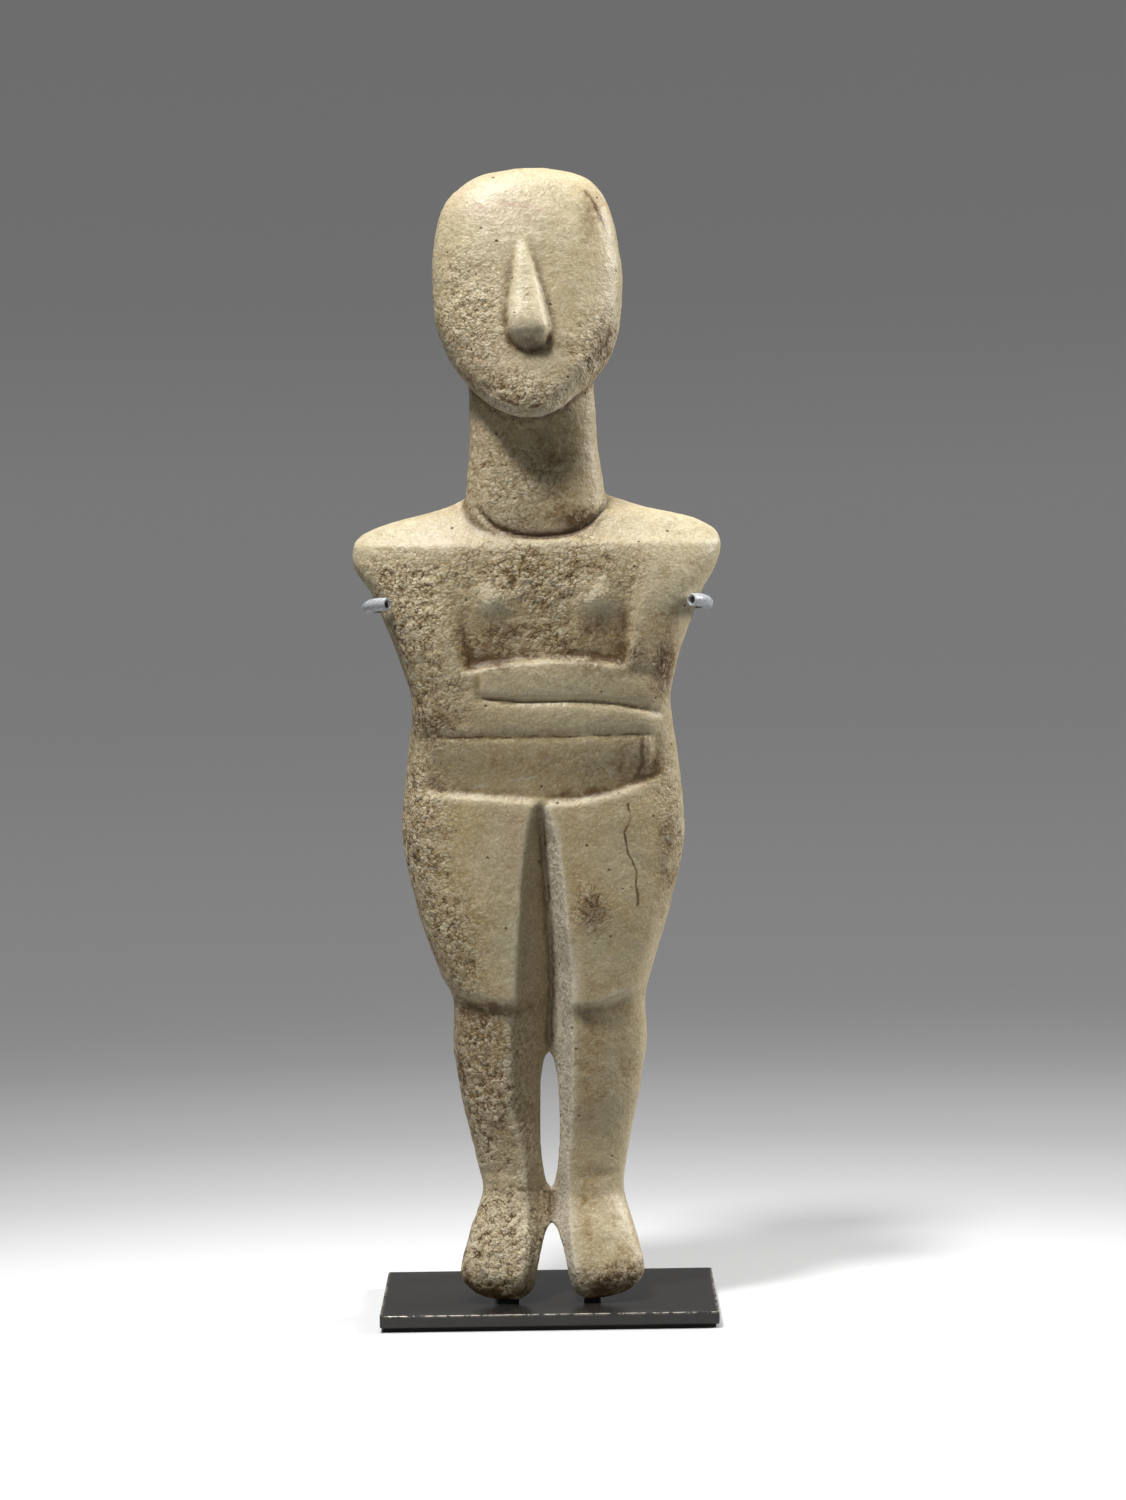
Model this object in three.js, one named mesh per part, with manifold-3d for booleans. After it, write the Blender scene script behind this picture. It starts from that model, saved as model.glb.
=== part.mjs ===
// Marble figurine with folded arms, held upright on a small display stand.
// Millimetres, +Z up. The figure faces -Y and +X is to the right of someone looking at it.
// The origin is the middle of the stand's underside.
import * as THREE from 'three';
import { mergeVertices } from 'three/addons/utils/BufferGeometryUtils.js';
import Module from 'manifold-3d';

const wasm = await Module();
wasm.setup();

// ---------------------------------------------------------------- driving dimensions
const PLATE = { width: 88, depth: 56, height: 3.3, cornerRadius: 0.6, topEdge: 0.2, lowerEdge: 0.6 };
const PAD = { height: 1.1, inset: 0.9, cornerRadius: 0.6 };
const TOE_REST = { height: 0.8, y: -13.4, depth: 3.4, leftX: -10.8, leftWidth: 5.6, rightX: 11.2, rightWidth: 4.4 };
const CONTACT_GAP = 0.1;
const POST = { x: -12.5, y: 19.6, radius: 2.4, topAboveRod: 3.2, footRadius: 4, footHeight: 2.4 };
const ROD = { radius: 0.9, sides: 8, steps: 42 };
const SLEEVE = { outerRadius: 1.65, boreRadius: 1.2, length: 10.5, overhang: 1.2, sides: 10, steps: 7 };
const CLIP = { height: 182.6, tipX: 39.4, drop: 2.2, clearance: 0.35 };

const PLATE_TOP = PAD.height + PLATE.height;
const TOE_LEVEL = PLATE_TOP + TOE_REST.height + CONTACT_GAP;

// The body at its landmarks. height is above the toe tips, left and right are the reach to each
// side of the centre plane, front and back the depth before and behind it, and square is the power
// of the section's superellipse: 2 is an ellipse and more is boxier.
const BODY = [
  { at: 'toe tips', height: 0, left: 13.8, right: 13.6, front: 15, back: -11.5, square: 2.2 },
  { at: 'toe curve', height: 1.6, left: 19.4, right: 20, front: 16.6, back: -9.5, square: 2.3 },
  { at: 'toe breadth', height: 7, left: 23.3, right: 24.9, front: 17.6, back: -5.8, square: 2.5 },
  { at: 'instep', height: 17, left: 20.6, right: 23, front: 14.6, back: 1.6, square: 2.5 },
  { at: 'ankle', height: 28, left: 17.2, right: 19.9, front: 9.9, back: 7.2, square: 2.4 },
  { at: 'shin foot', height: 36, left: 19, right: 21, front: 9.6, back: 7.4, square: 2.3 },
  { at: 'calf', height: 54, left: 22.9, right: 24.7, front: 11.8, back: 9.2, square: 2.3 },
  { at: 'calf top', height: 68, left: 24.4, right: 26.6, front: 13.2, back: 9.6, square: 2.4 },
  { at: 'knee', height: 77, left: 24, right: 26.3, front: 13.6, back: 8.2, square: 2.5 },
  { at: 'lower thigh', height: 85, left: 27.4, right: 28, front: 13.9, back: 8.8, square: 2.5 },
  { at: 'mid thigh', height: 103, left: 33.4, right: 33.5, front: 14.2, back: 12, square: 2.6 },
  { at: 'hip', height: 123, left: 37, right: 37.3, front: 13.8, back: 15.4, square: 2.6 },
  { at: 'belly', height: 138, left: 35.6, right: 36.3, front: 12.9, back: 14.4, square: 2.6 },
  { at: 'waist', height: 156, left: 33.8, right: 33.9, front: 13.8, back: 10.8, square: 2.8 },
  { at: 'elbow', height: 166, left: 36.4, right: 35.8, front: 14, back: 10.8, square: 2.9 },
  { at: 'upper arm', height: 183, left: 42.9, right: 41.9, front: 13.5, back: 11.4, square: 2.9 },
  { at: 'shoulder', height: 194, left: 48.6, right: 47.1, front: 12.9, back: 10.8, square: 2.5 },
  { at: 'collar', height: 197.2, left: 48.3, right: 47.5, front: 12.5, back: 10.4, square: 2.3 },
  { at: 'shoulder top', height: 199.6, left: 46.8, right: 46.9, front: 10.6, back: 9.6, square: 2.1 },
  { at: 'shoulder slope', height: 203, left: 39.6, right: 42.4, front: 8.2, back: 8.2, square: 1.9 },
  { at: 'neck root', height: 207.3, left: 23.8, right: 26, front: 5.4, back: 5.6, square: 1.8 },
  { at: 'ridge', height: 211, left: 16.4, right: 15, front: 2.4, back: 2.6, square: 1.8 },
];

// The neck, a tall oval that is sunk into the chest and into the head.
const NECK = [
  { at: 'in the chest', height: 190, left: 17.4, right: 16.6, front: 10.6, back: 8, square: 2.1 },
  { at: 'root', height: 206, left: 18.9, right: 17.8, front: 11.2, back: 9.4, square: 2.1 },
  { at: 'above the root', height: 213, left: 18.6, right: 17.2, front: 10.9, back: 9.8, square: 2.1 },
  { at: 'middle', height: 224, left: 17.7, right: 15.7, front: 10.3, back: 10, square: 2.1 },
  { at: 'in the head', height: 247, left: 17.4, right: 14.6, front: 9.4, back: 9.2, square: 2.1 },
];

// The head, in the same terms. Its sections lie further back as they rise, so the face leans back.
const HEAD = [
  { at: 'chin', height: 230.4, left: 4.6, right: 1.2, front: 15.6, back: -12.4, square: 2 },
  { at: 'chin curve', height: 232, left: 9.2, right: 5, front: 16.9, back: -8, square: 2.1 },
  { at: 'jaw', height: 235.5, left: 14.4, right: 9.8, front: 17.2, back: 1, square: 2.2 },
  { at: 'jaw angle', height: 240.5, left: 19.1, right: 15.8, front: 16.7, back: 7.8, square: 2.3 },
  { at: 'mouth line', height: 247, left: 23.1, right: 20, front: 15.6, back: 11.8, square: 2.4 },
  { at: 'cheek', height: 256, left: 26.2, right: 22.3, front: 14, back: 13.4, square: 2.5 },
  { at: 'brow', height: 266, left: 26.8, right: 22.9, front: 12, back: 14.8, square: 2.5 },
  { at: 'forehead', height: 276, left: 26, right: 21.8, front: 9.8, back: 14.8, square: 2.5 },
  { at: 'upper head', height: 285, left: 23.7, right: 19.4, front: 6.9, back: 13.2, square: 2.5 },
  { at: 'crown edge', height: 290.5, left: 18.8, right: 15.9, front: 4, back: 10.8, square: 2.3 },
  { at: 'crown', height: 293.6, left: 13, right: 10.6, front: 0.9, back: 8, square: 2.1 },
  { at: 'top', height: 295, left: 5, right: 3, front: -2.2, back: 5, square: 2 },
];

// The nose is a long ridge that widens downwards and ends in a flat underside.
const NOSE = [
  { at: 'root', height: 276.4, left: 4.2, right: -1.8, rise: 0.1 },
  { at: 'bridge', height: 271, left: 5.3, right: -0.3, rise: 1.5 },
  { at: 'middle', height: 263, left: 6.5, right: 1.7, rise: 3 },
  { at: 'wings', height: 255, left: 7.2, right: 3.4, rise: 4.7 },
  { at: 'tip', height: 252.4, left: 7.1, right: 3.8, rise: 5 },
  { at: 'underside', height: 250, left: 5.9, right: 2.9, rise: 2.2 },
  { at: 'lip', height: 248.2, left: 3.4, right: 0.4, rise: 0.2 },
];

// Carving. Heights are above the toe tips.
const ARMS = { raise: 2.2, lowerLine: 147.9, middleLine: 156.9, upperLine: 167.3, elbowClimb: 9 };
const ARM_TOPS = { fadeFrom: 186, fadeTo: 203 };
const FINGER_ENDS = { upperForearm: -16.4, lowerForearm: 30 };
const FOREARM_ROUNDING = 0.5;
const GROOVE = { depth: 1.1, halfWidth: 1.2 };
const BREAST = { height: 183.2, leftX: -12.2, rightX: 15, radius: 5.4, rise: 1.7 };
const THIGH = { raise: 1.5, topAtCentre: 130, topSlope: 0.15, kneeLeft: 78.5, kneeRight: 76.6 };
const ANKLE = { left: 33, right: 31.6, depth: 0.7, halfWidth: 2.2 };
const CLEFT_TOP = 130.6;
const SPINE = { depth: 0.9, halfWidth: 2.4, from: 132, to: 204 };
const BACK_CLEFT = { top: 122, depth: 6.5, halfWidth: 8 };
// The cleft between the legs: its bottom line, its two rims and its depth.
const CLEFT = [
  { height: 0, middle: 0.9, left: 8, right: 8.4, depth: 9 },
  { height: 18, middle: 1, left: 5.8, right: 5.8, depth: 9 },
  { height: 34, middle: 0.8, left: 6, right: 5.4, depth: 8.5 },
  { height: 52, middle: 0.8, left: 9.1, right: 6.7, depth: 11 },
  { height: 68, middle: 1.2, left: 9.2, right: 6.9, depth: 11.4 },
  { height: 84, middle: 1.9, left: 7.5, right: 6.9, depth: 10.4 },
  { height: 104, middle: 1, left: 6.2, right: 5.6, depth: 8.6 },
  { height: 120, middle: 0.1, left: 4.5, right: 3.8, depth: 5.8 },
  { height: 131, middle: -0.5, left: 2.2, right: 1.4, depth: 1.6 },
];
const CALF_GAP = { x: 0.7, height: 45.4, halfWidth: 2.7, halfHeight: 18.2, power: 2.1, points: 22 };
const FOOT_GAP = { x: 0.9, top: 18.5, spread: 5.2, flare: 3.2, flareHeight: 3.4, points: 9 };

// Rows of the body's surface: the spacing used up to each height.
const ROW_BANDS = [
  { to: 2, step: 0.8 },
  { to: 30, step: 4 },
  { to: 36, step: 2 },
  { to: 75, step: 5.6 },
  { to: 81, step: 1.2 },
  { to: 128, step: 6 },
  { to: 132, step: 1 },
  { to: 146.4, step: 4.9 },
  { to: 149.4, step: 0.75 },
  { to: 155.4, step: 2 },
  { to: 158.4, step: 0.75 },
  { to: 166.2, step: 2 },
  { to: 169, step: 0.7 },
  { to: 193, step: 3.6 },
  { to: 200, step: 1.2 },
  { to: 211, step: 1.9 },
];
const BODY_COLUMNS = { front: 12, back: 5, crowding: 1.12 };
const HEAD_COLUMNS = { front: 8, back: 6 };
const HEAD_ROWS = 24;
const NOSE_ROWS = 11;
const NOSE_COLUMNS = { front: 5, back: 1 };

// ---------------------------------------------------------------- small mathematics
const clamp01 = (value) => Math.min(1, Math.max(0, value));

// 0 before start, 1 after end and smooth between them.
function fadeIn(start, end, value) {
  const t = clamp01((value - start) / (end - start));
  return t * t * (3 - 2 * t);
}

// A smooth curve through a table's values that never overshoots them: cubic between neighbours,
// with the slope at each entry the harmonic mean of the slopes on both sides of it.
function valueAt(table, key, height) {
  const last = table.length - 1;
  const rising = table[last].height > table[0].height;
  const rows = rising ? table : [...table].reverse();
  const h = Math.min(rows[last].height, Math.max(rows[0].height, height));
  const slope = (i) => (rows[i + 1][key] - rows[i][key]) / (rows[i + 1].height - rows[i].height);
  const tangent = (i) => {
    if (i === 0) return slope(0);
    if (i === last) return slope(last - 1);
    const before = slope(i - 1);
    const after = slope(i);
    return before * after > 0 ? (2 * before * after) / (before + after) : 0;
  };
  let i = 0;
  while (i < last - 1 && h > rows[i + 1].height) i += 1;
  const span = rows[i + 1].height - rows[i].height;
  const t = (h - rows[i].height) / span;
  const rise = rows[i + 1][key] - rows[i][key];
  const curve = rise * t * t * (3 - 2 * t);
  const startPull = tangent(i) * span * t * (1 - t) * (1 - t);
  const endPull = tangent(i + 1) * span * t * t * (1 - t);
  return rows[i][key] + curve + startPull - endPull;
}

// Heights from the bottom of a table to its top, in the given bands of spacing.
function banded(start, bands) {
  const heights = [start];
  let from = start;
  for (const band of bands) {
    const count = Math.ceil((band.to - from) / band.step);
    for (let k = 1; k <= count; k += 1) heights.push(from + ((band.to - from) * k) / count);
    from = band.to;
  }
  return heights;
}

// Where the k-th column from the middle stands, from 0 there to 1 at the flank. A crowding over 1
// packs the columns towards the middle.
function columnAcross(k, count, crowding) {
  const part = Math.abs(k / count) ** crowding;
  return Math.sign(k) * Math.sin((Math.PI / 2) * part);
}

// Places round a section, anticlockwise seen from above: across runs from +1 at the right side to
// -1 at the left, and side is +1 on the back and -1 on the front.
function placesRound(columns, crowding) {
  const half = (count) => (
    Array.from({ length: 2 * count + 1 }, (_, k) => columnAcross(k - count, count, crowding)));
  const back = half(columns.back).reverse().map((across) => ({ across, side: 1 }));
  const front = half(columns.front).map((across) => ({ across, side: -1 }));
  return [...back.slice(0, -1), ...front.slice(0, -1)];
}

// ---------------------------------------------------------------- meshes and solids
// Closed surface through rings of equally many points, each ring above the last.
function closedLoft(rings) {
  const count = rings[0].length;
  const positions = rings.flat();
  const triangles = [];
  for (let i = 0; i < rings.length - 1; i += 1) {
    for (let j = 0; j < count; j += 1) {
      const a = i * count + j;
      const b = i * count + ((j + 1) % count);
      triangles.push(a, b, b + count, a, b + count, a + count);
    }
  }
  for (const [row, turned] of [[0, true], [rings.length - 1, false]]) {
    const centre = positions.length;
    const sum = rings[row].reduce((total, p) => total.map((value, k) => value + p[k]), [0, 0, 0]);
    positions.push(sum.map((value) => value / count));
    for (let j = 0; j < count; j += 1) {
      const a = row * count + j;
      const b = row * count + ((j + 1) % count);
      triangles.push(centre, turned ? b : a, turned ? a : b);
    }
  }
  const geometry = new THREE.BufferGeometry();
  geometry.setAttribute('position', new THREE.Float32BufferAttribute(positions.flat(), 3));
  geometry.setIndex(triangles);
  return geometry;
}

function toSolid(source) {
  let geometry = source.clone();
  geometry.deleteAttribute('normal');
  geometry.deleteAttribute('uv');
  geometry = mergeVertices(geometry, 1e-4);
  const vertProperties = new Float32Array(geometry.attributes.position.array);
  const triVerts = new Uint32Array(geometry.index.array);
  return new wasm.Manifold(new wasm.Mesh({ numProp: 3, vertProperties, triVerts }));
}

function toGeometry(solid) {
  const { vertProperties, triVerts, numProp } = solid.getMesh();
  const corners = new THREE.InterleavedBuffer(vertProperties, numProp);
  const geometry = new THREE.BufferGeometry();
  geometry.setAttribute('position', new THREE.InterleavedBufferAttribute(corners, 3, 0).clone());
  geometry.setIndex([...triVerts]);
  geometry.computeVertexNormals();
  return geometry;
}

// A column of an outline in the X-Z plane, cut through the figure from front to back.
function throughCut(outline, front, back) {
  const shape = new THREE.Shape(outline.map(([x, z]) => new THREE.Vector2(x, z)));
  const geometry = new THREE.ExtrudeGeometry(shape, { depth: back - front, bevelEnabled: false });
  geometry.rotateX(Math.PI / 2);
  geometry.translate(0, back, 0);
  return toSolid(geometry);
}

// A flat slab with rounded corners. levels gives each level's height and how far it is drawn in.
function slab(width, depth, cornerRadius, levels) {
  const cornerSteps = 2;
  const rings = levels.map(({ z, inset }) => {
    const ring = [];
    for (let corner = 0; corner < 4; corner += 1) {
      const signX = corner === 0 || corner === 3 ? 1 : -1;
      const signY = corner < 2 ? 1 : -1;
      for (let k = 0; k <= cornerSteps; k += 1) {
        const angle = (corner + k / cornerSteps) * (Math.PI / 2);
        const x = signX * (width / 2 - cornerRadius) + (cornerRadius - inset) * Math.cos(angle);
        const y = signY * (depth / 2 - cornerRadius) + (cornerRadius - inset) * Math.sin(angle);
        ring.push([x, y, z]);
      }
    }
    return ring;
  });
  return closedLoft(rings);
}

// ---------------------------------------------------------------- the figure's carving
// Inner edges of the upper arms, which come together downwards.
const leftArmEdge = (height) => -17 - 0.33 * (height - 157.6);
const rightArmEdge = (height) => 22.2 + 0.2 * (height - 166);

// The three lines of the folded forearms, from below. The lowest is level and turns up round the
// elbows, the others bend gently.
const lowerArmLine = (x) => {
  const pastLeft = Math.max(0, -29 - x);
  const pastRight = Math.max(0, x - 29.5);
  return ARMS.lowerLine + Math.min(ARMS.elbowClimb, 0.6 * pastLeft ** 2 + 0.75 * pastRight ** 2);
};
const middleArmLine = (x) => ARMS.middleLine + (x < 0 ? 0.0055 * x * x : -0.6 * (x / 17) ** 3);
const upperArmLine = (x) => ARMS.upperLine - 0.0055 * (x - 3) ** 2;

// Lower edges of the thighs, above the knees: level on the left leg, lower on the right one.
const kneeLine = (x) => THREE.MathUtils.lerp(
  THIGH.kneeLeft, THIGH.kneeRight + 0.012 * Math.max(0, x - 8) ** 2, fadeIn(-3, 5, x));

// A V of the given depth round a line, 0 at halfWidth from it.
const groove = (distance, halfWidth) => clamp01(1 - Math.abs(distance) / halfWidth);

function armRelief(x, height) {
  const aboveElbows = fadeIn(-0.9, 0.9, height - lowerArmLine(x));
  const belowShoulders = 1 - fadeIn(ARM_TOPS.fadeFrom, ARM_TOPS.fadeTo, height);
  const raise = ARMS.raise * aboveElbows * belowShoulders;
  const insideLeft = fadeIn(-1.6, 2.4, x - leftArmEdge(height));
  const insideRight = fadeIn(-1.2, 1.6, rightArmEdge(height) - x);
  const aboveForearm = fadeIn(-0.4, 1.4, height - upperArmLine(x));
  const chest = insideLeft * insideRight * aboveForearm;
  const forearmSpan = clamp01((x - FINGER_ENDS.upperForearm) * 0.8);
  const bandMiddle = height > middleArmLine(x) ? (middleArmLine(x) + upperArmLine(x)) / 2
    : (middleArmLine(x) + lowerArmLine(x)) / 2;
  const offMiddle = Math.min(1, Math.abs(height - bandMiddle) / 5);
  const inBands = aboveElbows * (1 - aboveForearm) * forearmSpan;
  const rounding = FOREARM_ROUNDING * offMiddle ** 2 * inBands;
  const middleGroove = groove(height - middleArmLine(x), GROOVE.halfWidth) * forearmSpan
    * (1 - fadeIn(30.5, 33, x));
  const fingerLine = groove(x - FINGER_ENDS.upperForearm, GROOVE.halfWidth)
    * fadeIn(156, 158, height) * (1 - fadeIn(165.5, 167, height)) * 0.5;
  const cuts = Math.max(middleGroove, fingerLine);
  return raise * (1 - chest) - rounding - GROOVE.depth * cuts;
}

function chestRelief(x, height) {
  let rise = 0;
  for (const centre of [BREAST.leftX, BREAST.rightX]) {
    const distance = Math.hypot(x - centre, height - BREAST.height) / BREAST.radius;
    rise += BREAST.rise * Math.exp(-1.6 * distance * distance);
  }
  return rise;
}

function legRelief(x, height) {
  const top = THIGH.topAtCentre + THIGH.topSlope * Math.abs(x);
  const thigh = THIGH.raise * fadeIn(-0.7, 0.7, height - kneeLine(x)) * (1 - fadeIn(-1.4, 1.6, height - top));
  const crease = x < 0 ? ANKLE.left : ANKLE.right;
  return thigh - ANKLE.depth * groove(height - crease, ANKLE.halfWidth);
}

// Depth of the cleft between the legs, seen from the front: two sloping walls that meet in a line.
function cleftDepth(x, height) {
  if (height > CLEFT_TOP) return 0;
  const middle = valueAt(CLEFT, 'middle', height);
  const reach = x < middle ? middle + valueAt(CLEFT, 'left', height)
    : valueAt(CLEFT, 'right', height) - middle;
  const wall = clamp01(1 - Math.abs(x - middle) / reach);
  return valueAt(CLEFT, 'depth', height) * wall ** 0.9;
}

const frontRelief = (x, height) => armRelief(x, height) + chestRelief(x, height)
  + legRelief(x, height) - cleftDepth(x, height);

// The back has a cleft between the legs and a faint channel down the spine.
function backRelief(x, height) {
  const middle = valueAt(CLEFT, 'middle', height);
  const depth = BACK_CLEFT.depth * (1 - fadeIn(BACK_CLEFT.top - 34, BACK_CLEFT.top, height));
  const feet = fadeIn(8, 26, height);
  const legs = depth * feet * groove(x - middle, BACK_CLEFT.halfWidth);
  const onSpine = fadeIn(SPINE.from - 20, SPINE.from, height) * (1 - fadeIn(SPINE.to - 12, SPINE.to, height));
  return -legs - SPINE.depth * onSpine * groove(x - middle, SPINE.halfWidth);
}

// ---------------------------------------------------------------- the figure's solids
// Outline of a table's section at one height.
function sectionAt(table, height) {
  const left = valueAt(table, 'left', height);
  const right = valueAt(table, 'right', height);
  const front = valueAt(table, 'front', height);
  const back = valueAt(table, 'back', height);
  return {
    height,
    centreX: (right - left) / 2,
    halfWidth: (right + left) / 2,
    centreY: (back - front) / 2,
    halfDepth: (back + front) / 2,
    square: valueAt(table, 'square', height),
  };
}

// How far a section reaches to its front or back at one place, as a part of its half depth.
const depthShare = (across, square) => clamp01(1 - Math.abs(across) ** square) ** (1 / square);

// The surface's rows bend with the carved lines across the front, so that each line lies along a
// row: this is how far each line departs from its own height in the middle of the figure.
const BENT_ROWS = [
  { height: 62, lift: () => 0 },
  { height: THIGH.kneeLeft, lift: (x) => kneeLine(x) - THIGH.kneeLeft },
  { height: 95, lift: () => 0 },
  { height: 116, lift: () => 0 },
  { height: THIGH.topAtCentre, lift: (x) => THIGH.topSlope * Math.abs(x) },
  { height: 140, lift: () => 0 },
  { height: ARMS.lowerLine, lift: () => 0 },
  { height: ARMS.middleLine, lift: (x) => middleArmLine(x) - ARMS.middleLine },
  { height: ARMS.upperLine, lift: (x) => upperArmLine(x) - ARMS.upperLine },
  { height: 182, lift: () => 0 },
];

function rowLift(x, row) {
  const above = BENT_ROWS.findIndex(({ height }) => height >= row);
  if (above < 1) return 0;
  const [low, high] = [BENT_ROWS[above - 1], BENT_ROWS[above]];
  const part = (row - low.height) / (high.height - low.height);
  const lift = low.lift(x) * (1 - part) + high.lift(x) * part;
  return lift * (1 - fadeIn(26, 33, Math.abs(x)));
}

// X of a place on the body's front. The columns bend sideways so that the middle one follows the
// cleft between the legs and others follow the cleft's rims and the inner edges of the upper arms.
function acrossFront(section, across) {
  const { height, centreX, halfWidth } = section;
  const side = Math.sign(across);
  const column = (k) => columnAcross(k, BODY_COLUMNS.front, BODY_COLUMNS.crowding);
  const onLegs = 1 - fadeIn(124, 146, height);
  const onArms = fadeIn(142, 157, height) * (1 - fadeIn(197, 209, height));
  const rim = side < 0 ? -valueAt(CLEFT, 'left', height) : valueAt(CLEFT, 'right', height);
  const armEdge = side < 0 ? leftArmEdge(height) : rightArmEdge(height);
  const guides = [
    { at: 0, x: valueAt(CLEFT, 'middle', height), hold: onLegs },
    { at: column(2), x: rim, hold: onLegs },
    { at: column(4), x: armEdge - 2.2 * side, hold: onArms },
    { at: column(5), x: armEdge + side, hold: onArms },
    { at: 1, x: 0, hold: 0 },
  ].map(({ at, x, hold }) => ({ at, x: THREE.MathUtils.lerp(centreX + side * halfWidth * at, x, hold) }));
  const next = Math.max(1, guides.findIndex(({ at }) => at >= Math.abs(across) - 1e-9));
  const [low, high] = [guides[next - 1], guides[next]];
  return THREE.MathUtils.mapLinear(Math.abs(across), low.at, high.at, low.x, high.x);
}

// X of a place on the body's back, where the middle column follows the cleft.
function acrossBack(section, across) {
  const cleft = valueAt(CLEFT, 'middle', section.height);
  const follow = (1 - across ** 2) * (1 - fadeIn(120, 150, section.height));
  return section.centreX + section.halfWidth * across + (cleft - section.centreX) * follow;
}

// One point of the body on a row. The carving fades out towards the flanks.
function bodyPoint(row, place) {
  const level = sectionAt(BODY, row);
  const onFront = place.side < 0 && Math.abs(place.across) < 1;
  const xAt = onFront ? acrossFront : acrossBack;
  const lift = onFront ? rowLift(xAt(level, place.across), row) : 0;
  const section = lift === 0 ? level : sectionAt(BODY, row + lift);
  const x = xAt(section, place.across);
  const share = depthShare((x - section.centreX) / section.halfWidth, section.square);
  const relief = place.side < 0 ? frontRelief(x, section.height) : backRelief(x, section.height);
  const onFace = fadeIn(0.1, 0.75, share);
  return [x, section.centreY + place.side * (section.halfDepth * share + relief * onFace), section.height];
}

function makeBody() {
  const places = placesRound(BODY_COLUMNS, BODY_COLUMNS.crowding);
  const rows = banded(BODY[0].height, ROW_BANDS);
  const rings = rows.map((row) => places.map((place) => bodyPoint(row, place)));
  return toSolid(closedLoft(rings));
}

// Heights between a table's ends, closer together towards both ends.
function easedHeights(table, rows) {
  const low = Math.min(table[0].height, table.at(-1).height);
  const high = Math.max(table[0].height, table.at(-1).height);
  const part = (k) => (1 - Math.cos((Math.PI * k) / rows)) / 2;
  return Array.from({ length: rows + 1 }, (_, k) => low + (high - low) * part(k));
}

// A smooth closed form through a table's sections.
function makeRounded(table, heights) {
  const places = placesRound(HEAD_COLUMNS, 1);
  const rings = heights.map((height) => {
    const section = sectionAt(table, height);
    return places.map(({ across, side }) => {
      const reach = side * section.halfDepth * depthShare(across, section.square);
      return [section.centreX + section.halfWidth * across, section.centreY + reach, height];
    });
  });
  return toSolid(closedLoft(rings));
}

const makeHead = () => makeRounded(HEAD, easedHeights(HEAD, HEAD_ROWS));
const makeNeck = () => makeRounded(NECK, banded(NECK[0].height, [{ to: NECK.at(-1).height, step: 8.2 }]));

// The nose stands on the face: its back is sunk into the head and its front is nearly flat.
function makeNose() {
  const sunk = 3;
  const flatness = 3.4;
  const places = placesRound(NOSE_COLUMNS, 1);
  const rings = easedHeights(NOSE, NOSE_ROWS).map((height) => {
    const left = valueAt(NOSE, 'left', height);
    const right = valueAt(NOSE, 'right', height);
    const face = -valueAt(HEAD, 'front', height);
    const rise = valueAt(NOSE, 'rise', height) + sunk;
    return places.map(({ across, side }) => {
      const x = (right - left) / 2 + ((right + left) / 2) * across;
      const y = face + sunk - (side < 0 ? rise * depthShare(across, flatness) : 0);
      return [x, y, height];
    });
  });
  return toSolid(closedLoft(rings));
}

// The slot between the calves, a tall narrow oval, and the open notch between the feet.
function makeLegGaps() {
  const oval = Array.from({ length: CALF_GAP.points }, (_, k) => {
    const angle = (2 * Math.PI * k) / CALF_GAP.points;
    const rise = Math.sign(Math.sin(angle)) * Math.abs(Math.sin(angle)) ** (2 / CALF_GAP.power);
    return [CALF_GAP.x + CALF_GAP.halfWidth * Math.cos(angle), CALF_GAP.height + CALF_GAP.halfHeight * rise];
  });
  const sides = [];
  for (let k = 0; k <= FOOT_GAP.points; k += 1) {
    const height = FOOT_GAP.top * (1 - (k / FOOT_GAP.points) ** 2);
    const flare = Math.max(0, 1 - height / FOOT_GAP.flareHeight) ** 2;
    const reach = FOOT_GAP.spread * Math.sqrt(1 - height / FOOT_GAP.top) + FOOT_GAP.flare * flare;
    sides.push([reach, height]);
  }
  const below = -1;
  sides.push([sides.at(-1)[0], below]);
  const left = sides.slice(1).reverse().map(([reach, height]) => [FOOT_GAP.x - reach, height]);
  const right = sides.map(([reach, height]) => [FOOT_GAP.x + reach, height]);
  const notch = [...left, ...right].reverse();
  return throughCut(oval, -30, 30).add(throughCut(notch, -30, 30));
}

function makeFigurine() {
  const whole = makeBody().add(makeNeck()).add(makeHead()).add(makeNose());
  return toGeometry(whole.subtract(makeLegGaps()));
}

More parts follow.
